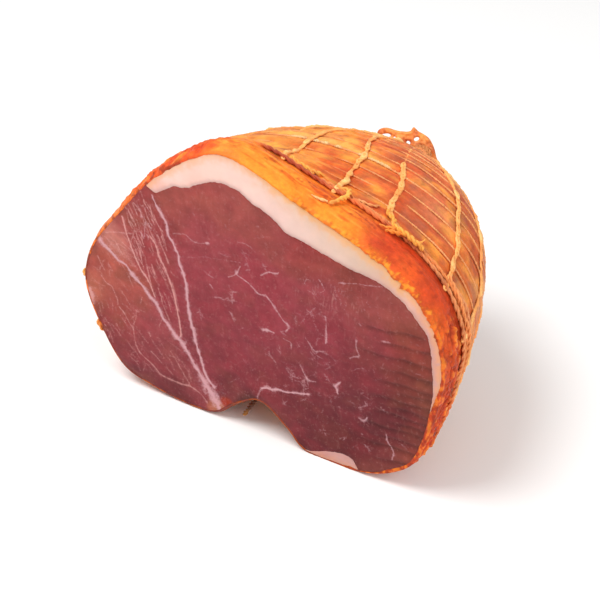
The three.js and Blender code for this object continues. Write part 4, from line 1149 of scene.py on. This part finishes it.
def cord_tree(name, sizes, plies):
    """One or two plies twisted round a guide, of uneven yarn: it swells and thins every 1.4 mm."""
    tree, given = node_tree(name, sizes)
    path = add(tree, "GeometryNodeMeshToCurve", {"Mesh": given["Geometry"]})
    path = add(tree, "GeometryNodeResampleCurve", {"Curve": path.outputs["Curve"], "Length": given["Step"]},
               mode="LENGTH")
    length = add(tree, "GeometryNodeSplineParameter").outputs["Length"]
    rate = add(tree, "ShaderNodeMath", {0: 2 * math.pi, 1: given["Twist"]}, operation="DIVIDE")
    angle = add(tree, "ShaderNodeMath", {0: length, 1: rate.outputs["Value"]}, operation="MULTIPLY")
    tilted = add(tree, "GeometryNodeSetCurveTilt",
                 {"Curve": path.outputs["Curve"], "Tilt": angle.outputs["Value"]})
    size = add(tree, "GeometryNodeInputNamedAttribute", {"Name": "size"}, data_type="FLOAT")
    fuzz = add(tree, "ShaderNodeTexNoise", {"Scale": 700.0, "Detail": 2.0})
    swell = add(tree, "ShaderNodeMapRange", {"Value": fuzz.outputs["Fac"], "From Min": 0.25,
                                             "From Max": 0.75, "To Min": 0.75, "To Max": 1.25})
    radius = add(tree, "ShaderNodeMath", {0: size.outputs["Attribute"], 1: swell.outputs["Result"]},
                 operation="MULTIPLY")
    sized = add(tree, "GeometryNodeSetCurveRadius", {"Curve": tilted.outputs["Curve"],
                                                     "Radius": radius.outputs["Value"]})
    circle = add(tree, "GeometryNodeCurvePrimitiveCircle", {"Resolution": given["Sides"],
                                                            "Radius": given["Ply Radius"]})
    if plies == 2:
        join = add(tree, "GeometryNodeJoinGeometry")
        for side in (-0.68, 0.68):
            offset = add(tree, "ShaderNodeMath", {0: given["Ply Radius"], 1: side}, operation="MULTIPLY")
            shift = add(tree, "ShaderNodeCombineXYZ", {"X": offset.outputs["Value"]})
            moved = add(tree, "GeometryNodeTransform", {"Geometry": circle.outputs["Curve"],
                                                        "Translation": shift.outputs["Vector"]})
            tree.links.new(moved.outputs["Geometry"], join.inputs["Geometry"])
        profile = join.outputs["Geometry"]
    else:
        profile = add(tree, "GeometryNodeTransform", {"Geometry": circle.outputs["Curve"],
                                                      "Scale": (1.25, 0.75, 1.0)}).outputs["Geometry"]
    swept = add(tree, "GeometryNodeCurveToMesh", {"Curve": sized.outputs["Curve"], "Profile Curve": profile,
                                                  "Fill Caps": True})
    if "Scale" in swept.inputs.keys():
        tree.links.new(radius.outputs["Value"], swept.inputs["Scale"])
    real = add(tree, "GeometryNodeRealizeInstances", {"Geometry": swept.outputs["Mesh"]})
    dressed = add(tree, "GeometryNodeSetMaterial",
                  {"Geometry": real.outputs["Geometry"], "Material": yarn_paint})
    add(tree, "NodeGroupOutput", {"Geometry": dressed.outputs["Geometry"]})
    return tree


def corded(name, lines, sizes, plies=2, closed=False):
    """Cords of one kind along their lines, as one piece."""
    grown(name, guide(name + "_guide", lines, closed), cord_tree(name, sizes, plies), sizes)


def plain(hex_colour, count):
    return np.tile(linear(hex_colour)[:3], (count, 1))


def yarn_colours(points, pale, dark, share):
    return toward(plain(pale, len(points)), dark, share + 0.35 * ripple(points, 9, 41, 2))


# Threads: pale, thin, pressed into the casing; each one wanders a little from a straight ring. One of
# them lies bare and bright over the top.
BARE_THREAD = 4
thread_lines = []
u = np.linspace(0, 1, 380, endpoint=False)
ring = rim(u)
degrees = degrees_of(u)
for i, at in enumerate(THREAD_AT):
    y = at + 0.55 * ripple(np.stack([ring[:, 0], np.full(len(u), at * 3), ring[:, 1]], -1), 28, 40 + i)
    s = row_at(y, u)
    points = over(u, s, np.full(len(u), 0.1))
    faint = smooth(degrees, 44, 66) * smooth(ripple(points, 7, 44 + i, 2), -0.35, 0.25)
    faint = np.maximum(faint, 0.8 * smooth(degrees, 50, 70) * (1 - smooth(at, 26, 60)))
    colours = yarn_colours(points, "#f8ac6c", "#d4743c", 0.15 + 0.2 * smooth(degrees, 60, 90))
    colours = toward(colours, "#dd7230", faint * 0.85)
    bare = (i == BARE_THREAD) * smooth(degrees, 43, 50) * (1 - smooth(degrees, 108, 122))
    bare = bare * smooth(ripple(points, 5, 46, 2), -0.5, 0.2)
    colours = toward(colours, "#ffdf9e", bare * 0.9)
    thread_lines.append({"points": over(u, s, 0.1 - 0.3 * faint * (1 - bare) + 0.3 * bare, low=0.4),
                         "up": directions(u, s)[1], "colour": colours,
                         "size": 1 - 0.3 * faint + 0.9 * bare})
thread_sizes = {"Step": 0.00075, "Twist": 0.0022, "Ply Radius": 0.00047, "Sides": 6}
corded("net_threads", thread_lines, thread_sizes, plies=1, closed=True)

# Chains: loops of yarn drawn through each other, one every 1.6 mm. One chain sinks into the casing
# half way back, and two lie sunk in it up to there.
SINKS_IN, FIRST_SUNK = 2, 15
chain_lines = []
for chain in range(CHAINS):
    y = np.linspace(float(row_depth(15.0, rim_at(chain_degrees(chain, 20.0)))), 112, 90)
    u = rim_at(chain_degrees(chain, y))
    sway = 0.5 * ripple(np.stack([y, np.full(len(y), chain * 9.0)], -1), 6, 50 + chain, 3)
    s = row_at(y, u)
    sunk = 0.8 * smooth(y, 68, 71) * (chain == SINKS_IN)
    sunk += 1.3 * (1 - smooth(y, 66, 78)) * (chain >= FIRST_SUNK)
    lumps = ripple(np.stack([y, np.full(len(y), chain * 5.0)], -1), 4.5, 90 + chain, 2)
    points = over(u, s, 0.55 + 0.25 * lumps - sunk, sway, low=0.9)
    # Painted shade: a chain is darker the further it turns from the top, and its raised lumps get a painted
    # highlight of pale yellow.
    dark = 0.1 + 0.3 * (1 - smooth(np.cos(np.radians(degrees_of(u) - 75)), 0.2, 0.9))
    colours = yarn_colours(points, "#ffb866", "#fb9046", dark)
    colours = toward(colours, "#ffd88c", smooth(lumps, 0.2, 0.8) * 0.6)
    knot = sum(np.exp(-(((y - at) / 1.3) ** 2)) for at in THREAD_AT)
    size = (1 + 0.25 * knot + 0.35 * lumps) * (1 - 0.6 * sunk)
    chain_lines.append({"points": points, "up": directions(u, s)[1], "colour": colours, "size": size})
chain_sizes = {"Pitch": 0.0016, "Loop Length": 0.0038, "Loop Width": 0.00118, "Yarn Radius": 0.00052,
               "Dip": 7.0, "Seed": 7}
tree, given = node_tree("chain_of_loops", chain_sizes)
path = add(tree, "GeometryNodeMeshToCurve", {"Mesh": given["Geometry"]})
path = add(tree, "GeometryNodeResampleCurve", {"Curve": path.outputs["Curve"], "Length": given["Pitch"]},
           mode="LENGTH")
ring = add(tree, "GeometryNodeCurvePrimitiveCircle", {"Resolution": 9, "Radius": 0.5})
shape = add(tree, "ShaderNodeCombineXYZ", {"X": given["Loop Length"], "Y": given["Loop Width"], "Z": 1.0})
dip = add(tree, "ShaderNodeMath", {0: given["Dip"]}, operation="RADIANS")
lean_over = add(tree, "ShaderNodeCombineXYZ", {"Y": dip.outputs["Value"]})
loop = add(tree, "GeometryNodeTransform", {"Geometry": ring.outputs["Curve"],
                                           "Scale": shape.outputs["Vector"]})
strand = add(tree, "GeometryNodeCurvePrimitiveCircle", {"Resolution": 4, "Radius": given["Yarn Radius"]})
loop = add(tree, "GeometryNodeCurveToMesh", {"Curve": loop.outputs["Geometry"],
                                             "Profile Curve": strand.outputs["Curve"]})
loop = add(tree, "GeometryNodeTransform", {"Geometry": loop.outputs["Mesh"],
                                           "Rotation": lean_over.outputs["Vector"]})
up = add(tree, "GeometryNodeInputNamedAttribute", {"Name": "up"}, data_type="FLOAT_VECTOR")
ahead = add(tree, "GeometryNodeInputTangent")
aim = add(tree, "FunctionNodeAxesToRotation", {"Primary Axis": up.outputs["Attribute"],
                                               "Secondary Axis": ahead.outputs["Tangent"]},
          primary_axis="Z", secondary_axis="X")
vary = add(tree, "FunctionNodeRandomValue", {"Seed": given["Seed"]}, data_type="FLOAT_VECTOR")
vary.inputs[0].default_value = (0.85, 0.7, 0.7)
vary.inputs[1].default_value = (1.15, 1.35, 1.3)
knots = add(tree, "GeometryNodeInputNamedAttribute", {"Name": "size"}, data_type="FLOAT")
grow = add(tree, "ShaderNodeVectorMath", {0: vary.outputs[0], "Scale": knots.outputs["Attribute"]},
           operation="SCALE")
loops = add(tree, "GeometryNodeInstanceOnPoints", {
    "Points": path.outputs["Curve"], "Instance": loop.outputs["Geometry"],
    "Rotation": aim.outputs["Rotation"], "Scale": grow.outputs["Vector"]})
real = add(tree, "GeometryNodeRealizeInstances", {"Geometry": loops.outputs["Instances"]})
dressed = add(tree, "GeometryNodeSetMaterial", {"Geometry": real.outputs["Geometry"],
                                                "Material": yarn_paint})
add(tree, "NodeGroupOutput", {"Geometry": dressed.outputs["Geometry"]})
grown("net_chains", guide("chain_guide", chain_lines), tree, chain_sizes)

# Rolled edge: two plies of gathered net lie in the groove, doubled on the right.
u = np.linspace(0, 1, 560, endpoint=False)
degrees = degrees_of(u)
in_groove = np.full(len(u), float(GROOVE_AT))
hem = over(u, in_groove + 0.3 * ripple(rim(u), 16, 61), 1.1 + 0.2 * ripple(rim(u), 9, 62), low=1.2)
covered = smooth(degrees, 92, 99) * (1 - smooth(degrees, 121, 132))
# From 62 degrees on the cord is painted dark red-brown, partly its own colour and partly painted shade of
# the groove.
hem_colour = toward(plain("#e4763a", len(u)), "#a83a18", smooth(degrees, 62, 72) * 0.85)
hem_colour = toward(hem_colour, "#f08a34", covered * 0.8)
hem_colour = toward(hem_colour, "#e8965a", (1 - smooth(degrees, 22, 40)) * smooth(degrees, -20, -8) * 0.85)
hem_colour = toward(hem_colour, "#8c2c10", smooth(ripple(hem, 5, 63, 2), 0.1, 0.7) * 0.4)
hem_size = (1 + 0.18 * ripple(hem, 3, 64, 2)) * (1 - 0.3 * covered)
edge_sizes = {"Step": 0.0006, "Twist": 0.008, "Ply Radius": 0.00062, "Sides": 8}
hem_line = {"points": hem, "up": directions(u, in_groove)[1], "colour": hem_colour, "size": hem_size}
corded("net_rolled_edge", [hem_line], edge_sizes, closed=True)


def led(stops, colour, size=None, dark="#d9803c", share=0.15):
    """A yarn through stops (distance from the cut, degrees, height over the casing)."""
    path = flowing(stops, steps=10)
    u = rim_at(path[:, 1])
    s = row_at(path[:, 0], u)
    points = over(u, s, path[:, 2], low=0.9)
    along = np.linspace(0, 1, len(points))
    sizes = np.ones(len(points)) if size is None else np.interp(along, np.linspace(0, 1, len(size)), size)
    return {"points": points, "up": directions(u, s)[1], "size": sizes,
            "colour": yarn_colours(points, colour, dark, np.full(len(points), share))}


# Loose ends and doubled yarns of the edge: bright where they stand off the casing.
doubled = [
    led([(22.6, 70, 0.5), (23.2, 60, 0.9), (22.4, 50, 0.6), (22, 40, 0.9), (21.8, 30, 1.3), (22, 20, 1.5),
         (21.6, 10, 1.4), (20.5, 2, 1.2), (19, -8, 1.0)], "#f08c48"),
    led([(25.5, 19, 0.8), (23, 16.5, 1.8), (21.6, 13, 2.6), (20.8, 9, 2.4), (21.8, 4.5, 2.2),
         (21.4, -1, 1.8), (19.4, -8, 1.6)], "#f89c58"),
    led([(22.4, 78, 0.6), (21.8, 84, 1.0), (21.2, 92, 0.9), (20.6, 104, 0.6)], "#f09440"),
    led([(23.6, 18, 1.0), (25, 12, 1.0), (25.2, 6, 1.0), (23.6, 0, 1.2), (20.4, -8, 1.4)], "#f2a068"),
]
doubled_sizes = {"Step": 0.0007, "Twist": 0.007, "Ply Radius": 0.00056, "Sides": 7}
corded("net_doubled_yarns", doubled, doubled_sizes)
loose = [
    led([(24, 63.5, 1), (23.6, 61, 1.6), (24.4, 59, 2), (22, 57.6, 2.6), (18, 57.6, 2), (12, 58.4, 1.4),
         (7.5, 60, 1.0)], "#ffba50", (1, 1.1, 1.3, 1.4, 1.3, 1.2, 0.8)),
    led([(8, 61, 0.9), (6.6, 64, 1.0), (6.4, 67, 0.7)], "#ffc884", (0.7, 0.8, 0.3)),
    led([(30, 43.5, 1), (26.5, 43, 1.6), (24.5, 40.5, 2.2), (22, 40, 2.4), (21.5, 38, 2.6), (21.5, 35, 3),
         (21, 32.5, 3.4), (20.4, 30.6, 3.4), (20, 29.4, 2.8)], "#ffb446",
         (1, 1.1, 1.3, 1.2, 1.5, 1.6, 1.6, 1.5, 0.9)),
    led([(21.4, 31.5, 3.4), (21.8, 31, 4.4), (22.6, 30.6, 6.2)], "#ffb050", (1.1, 0.8, 0.25)),
    led([(20.4, 38.5, 2.0), (18, 39.5, 2.4), (16.4, 41, 1.8), (15.8, 43.5, 1.0)], "#f8902c",
        (1.2, 1.2, 1.0, 0.5)),
    led([(19.6, 36.5, 2.2), (17.2, 38, 2.0), (15.6, 39.5, 1.6), (14.4, 41, 0.8)], "#f68c2a",
        (1.2, 1.3, 1.1, 0.5)),
    led([(29, 47, 0.7), (26.6, 48, 0.9), (25, 50, 0.9), (24, 54, 0.8)], "#f8b070", (0.6, 0.8, 0.8, 0.6)),
    led([(25.4, 85.6, 0.8), (23.6, 82, 1.0), (23.3, 78, 1.1), (23.6, 74.6, 1.0), (25.4, 72.4, 0.8),
         (26.4, 70.6, 0.6)],
        "#ffb444", (1, 1.1, 1.2, 1.3, 1.2, 0.6)),
    led([(23.4, 76, 1.0), (22.2, 74.4, 1.2), (21.4, 73.4, 1.4)], "#ffae40", (1, 1.1, 0.9)),
]
loose_sizes = {"Step": 0.0005, "Twist": 0.006, "Ply Radius": 0.00055, "Sides": 7}
corded("net_loose_ends", loose, loose_sizes)

# Tufts: two small ends of cut yarn at the left edge of the cut.
tufts = [
    led([(2.4, -169.5, 0.1), (1, -170.7, 0.5), (0.5, -171.6, 0.7), (1.2, -172.6, 0.1)], "#ffb45c",
        (0.8, 1.1, 1.1, 0.7)),
    led([(2.4, -151.5, 0.0), (1.2, -153, 0.7), (0.8, -154.6, 1.0), (1, -156, 0.2)], "#f8a450",
        (0.8, 1.3, 1.4, 0.9)),
]
tuft_sizes = {"Step": 0.0005, "Twist": 0.009, "Ply Radius": 0.0005, "Sides": 7}
corded("net_cut_tufts", tufts, tuft_sizes)

# Stub: a short dark end of string that hangs from under the notch.
stub_path = flowing([(0.5, 9, 16.5), (-2, 6.5, 15), (-4.2, 4.6, 12), (-6.2, 4.1, 8.4), (-8.2, 3.9, 4.6)],
                    steps=10)
stub_ends = np.linspace(0, 1, len(stub_path))
stub_colour = toward(plain("#5a2a10", len(stub_path)), "#a86a24", smooth(stub_ends, 0.6, 1))
stub = {"points": stub_path, "up": np.tile([0, -1.0, 0], (len(stub_path), 1)),
        "size": 0.95 + 0.25 * stub_ends, "colour": stub_colour}
stub_sizes = {"Step": 0.0006, "Twist": 0.004, "Ply Radius": 0.0006, "Sides": 8}
corded("net_string_stub", [stub], stub_sizes)

# ---- Tail -------------------------------------------------------------------------------------------
# Behind the meat the net is gathered: its yarns run together over the end, are bound with string, and
# the bunched mesh beyond stands up as a stiff web, brown with dried fat, open in six places.
YARNS_AT_TAIL = 34
# The neck beyond the meat as (distance from the cut, radius, how far under the tail's middle).
NECK = [(119.2, 4.8, 1.4), (120.4, 3.9, 2), (122, 3.4, 2.4), (123.6, 3.8, 2.6), (124.6, 4.4, 2.6)]
tail_lines = []
for k in range(YARNS_AT_TAIL):
    s = np.array([104, 107, 110, 112.5, 114.5, 116.2, 117.6])
    u = k / YARNS_AT_TAIL + 0.004 * ripple(np.stack([s, np.full(7, k * 5.0)], -1), 6, 71)
    height = np.array([0.1, 0.3, 0.4, 0.5, 0.6, 0.7, 0.8]) + 0.25 * (k % 2)
    path = over(u, s, height)
    out = sideways(u[-1:], np.array([117.0]))[0]
    neck = [[TAIL[0] + radius * out[0], y, TAIL[1] - drop + 0.7 * radius * out[1]]
            for y, radius, drop in NECK]
    path = flowing(np.vstack([path, neck]), steps=6)
    away = path - [TAIL[0], 108, TAIL[1]]
    up = away / np.linalg.norm(away, axis=1, keepdims=True)
    tail_lines.append({"points": path, "up": up, "size": np.linspace(0.8, 1.15, len(path)),
                       "colour": yarn_colours(path, "#f59a58", "#c8643a", np.linspace(0.1, 0.5, len(path)))})
gather_sizes = {"Step": 0.0009, "Twist": 0.006, "Ply Radius": 0.00042, "Sides": 6}
corded("net_gathered_yarns", tail_lines, gather_sizes)

# Binding: string wound tightly round the neck.
BINDING_TURNS = 3.6
turns = np.linspace(0, BINDING_TURNS * 2 * math.pi, 110)
bind_radius = 4.3 + 0.25 * np.sin(turns * 0.7)
bind = np.stack([TAIL[0] + bind_radius * np.cos(turns), 119.9 + turns * 0.155,
                 TAIL[1] - 2.2 + 0.75 * bind_radius * np.sin(turns)], -1)
bind_up = (bind - [TAIL[0], 121, TAIL[1]]) * [1, 0, 1]
bind_sizes = {"Step": 0.0008, "Twist": 0.004, "Ply Radius": 0.00058, "Sides": 7}
bind_line = {"points": bind, "up": bind_up / np.linalg.norm(bind_up, axis=1, keepdims=True),
             "colour": yarn_colours(bind, "#e0904c", "#a85c30", np.full(len(turns), 0.2))}
corded("net_binding_string", [bind_line], bind_sizes)

# Web: its edge as (degrees, distance from its foot), its openings as (degrees, distance, length, height).
# It stands a little behind the neck, turned and leant so that its face is seen.
WEB_TURN, WEB_LEAN = math.radians(31), math.radians(35)
WEB_FOOT = np.array([TAIL[0] - 1.6, 122.0, TAIL[1] - 4.6])
WEB_EDGE = [(-25, 11.3), (0, 9.2), (30, 9.2), (60, 10.8), (88, 12.6), (98, 14.6), (106, 13.2), (123, 15),
            (137, 21), (146, 23.3), (153, 22), (156, 14), (170, 5), (230, 3), (290, 4)]
WEB_HOLES = [(146, 18.7, 4, 2), (141, 14.4, 1.5, 1.6), (123, 8.3, 1.9, 1.6), (94, 8.7, 2.6, 1.7),
             (72, 5.3, 1.6, 1.5), (30, 5.2, 2.8, 1.6)]


def polar(degrees, distance):
    return np.array([distance * math.cos(math.radians(degrees)),
                     distance * math.sin(math.radians(degrees))])


web_edge = flowing([polar(*stop) for stop in WEB_EDGE], closed=True, steps=14)[:-1]
lap = np.linspace(0, 2 * math.pi, 20, endpoint=False)
borders = [web_edge]
for degrees, distance, length, height in WEB_HOLES:
    uneven = 1 + 0.16 * np.sin(lap * 2 + degrees)
    oval = np.stack([length / 2 * np.cos(lap), height / 2 * np.sin(lap)], -1)
    borders.append(polar(degrees, distance) + oval * uneven[:, None])
loops_of, begin = [], 0
for border in borders:
    loops_of.append(list(range(begin, begin + len(border))))
    begin += len(border)
brim = np.vstack(borders)
brim_tree = KDTree(len(brim))
for number, (x, z) in enumerate(brim):
    brim_tree.insert((x, z, 0), number)
brim_tree.balance()
xs, zs = np.meshgrid(np.arange(-22, 14, 0.42), np.arange(-8, 18, 0.37))
shaken = np.random.default_rng(4).uniform(-0.06, 0.06, (xs.size, 2))
filling = np.stack([xs.ravel(), zs.ravel()], -1) + shaken
filling = filling[[brim_tree.find((x, z, 0))[2] > 0.22 for x, z in filling]]
hole_edges = [pair for loop in loops_of[1:] for pair in zip(loop, loop[1:] + loop[:1])]
web_flat, unused, web_faces, unused, unused, unused = delaunay_2d_cdt(
    [Vector(p) for p in np.vstack([brim, filling])], hole_edges, [loops_of[0]], 1, 1e-5)
web_flat = np.array([tuple(p) for p in web_flat])


def in_hole(point):
    for degrees, distance, length, height in WEB_HOLES:
        apart = (point - polar(degrees, distance)) / (length / 2, height / 2)
        lap_at = math.atan2(apart[1], apart[0])
        if np.hypot(*apart) < (1 + 0.16 * math.sin(lap_at * 2 + degrees)) * 0.99:
            return True
    return False


web_faces = [f for f in web_faces if not in_hole(web_flat[list(f)].mean(0))]
on_brim = np.array([brim_tree.find((x, z, 0))[2] for x, z in web_flat])
thick = 1.15 * np.sqrt(np.clip(on_brim / 1.1, 0, 1)) * (1 + 0.35 * ripple(web_flat, 2.2, 72, 2))
thick *= 1 - 0.35 * smooth(on_brim, 1.1, 2.4)
crumple = 0.9 * ripple(web_flat, 5, 73, 2) * smooth(np.hypot(*web_flat.T), 3, 9)
right = np.array([math.cos(WEB_TURN), math.sin(WEB_TURN), 0])
upward = np.array([-math.sin(WEB_TURN) * math.sin(WEB_LEAN), math.cos(WEB_TURN) * math.sin(WEB_LEAN),
                   math.cos(WEB_LEAN)])
facing = np.cross(right, upward)
plane = WEB_FOOT + web_flat[:, :1] * right + web_flat[:, 1:] * upward
sides = [plane + (crumple + thick * side)[:, None] * facing for side in (1, -1)]
rim_mark = on_brim < 1e-4
renumber = np.where(rim_mark, np.arange(len(plane)), np.arange(len(plane)) + len(plane))
web_points = np.vstack([np.where(rim_mark[:, None], plane + crumple[:, None] * facing, sides[0]), sides[1]])
web_all = [tuple(f) for f in web_faces] + [tuple(renumber[k] for k in reversed(f)) for f in web_faces]
used = np.unique(np.array(web_all).ravel())
compact = np.zeros(len(web_points), int)
compact[used] = np.arange(len(used))
web_points = web_points[used]
web_tint = toward(plain("#ffa04c", len(used)), "#cc5c24", 0.1 + 0.8 * ripple(web_points, 4, 74, 3))
# Its lower part is painted darker red-brown, partly its own colour and partly painted shade near its foot.
web_low = np.tile(smooth(9.5 - web_flat[:, 1], 0, 3.5), 2)[used]
web_tint = toward(web_tint, "#b44c1c", web_low * (0.45 + 0.3 * ripple(web_points, 3, 76, 2)))
web_tint = toward(web_tint, "#ffb877", smooth(ripple(web_points, 3, 75, 2), 0.35, 0.8) * 0.5)
web = mesh_piece("net_gathered_web", web_points, [tuple(compact[k] for k in f) for f in web_all],
                 yarn_paint, {"tint": web_tint})
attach(web, "root")
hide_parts("net")

# ---- Stage ------------------------------------------------------------------------------------------
# A plain pale floor, one broad soft lamp from the upper left, a fill from the right and even air.
floor_mesh = bpy.data.meshes.new("floor")
floor_mesh.from_pydata([(-4, -4, 0), (4, -4, 0), (4, 4, 0), (-4, 4, 0)], [], [(0, 1, 2, 3)])
floor = bpy.data.objects.new("floor", floor_mesh)
bpy.context.scene.collection.objects.link(floor)
# Paper: white and quite matt.
floor_paint, tree, surface = material_of("matt_white_paper")
surface.inputs["Base Color"].default_value = linear("#fbfaf9")
surface.inputs["Roughness"].default_value = 0.9
floor_mesh.materials.append(floor_paint)

world = bpy.data.worlds.new("studio_air")
world.use_nodes = True
world.node_tree.nodes["Background"].inputs["Color"].default_value = (1, 1, 1, 1)
world.node_tree.nodes["Background"].inputs["Strength"].default_value = 0.55
bpy.context.scene.world = world


def lamp(name, place, size, power, aim=(0, 0, 0.07)):
    light = bpy.data.lights.new(name, "AREA")
    light.shape = "DISK"
    light.size = size
    light.energy = power
    item = bpy.data.objects.new(name, light)
    item.location = place
    item.rotation_euler = (Vector(aim) - Vector(place)).to_track_quat("-Z", "Y").to_euler()
    bpy.context.scene.collection.objects.link(item)


lamp("key", (-0.42, -0.38, 1.2), 0.7, 11.5)
lamp("fill", (1.0, -0.3, 0.75), 0.9, 5.6)

# The camera stands 31 degrees to the right of the cut's own direction and 35 degrees up, 0.612 m off.
camera_data = bpy.data.cameras.new("camera")
camera_data.lens = 85
camera_data.sensor_width = 36
camera = bpy.data.objects.new("camera", camera_data)
bpy.context.scene.collection.objects.link(camera)
target = Vector((np.array([24.9, 0, 85.1]) + SHIFT) / 1000)
azimuth, elevation = math.radians(31), math.radians(35)
back = Vector((math.sin(azimuth) * math.cos(elevation), -math.cos(azimuth) * math.cos(elevation),
               math.sin(elevation)))
camera.location = target + back * 0.612
camera.rotation_euler = back.to_track_quat("Z", "Y").to_euler()
camera_data.clip_start = 0.01
bpy.context.scene.camera = camera
bpy.context.scene.view_settings.view_transform = "Standard"
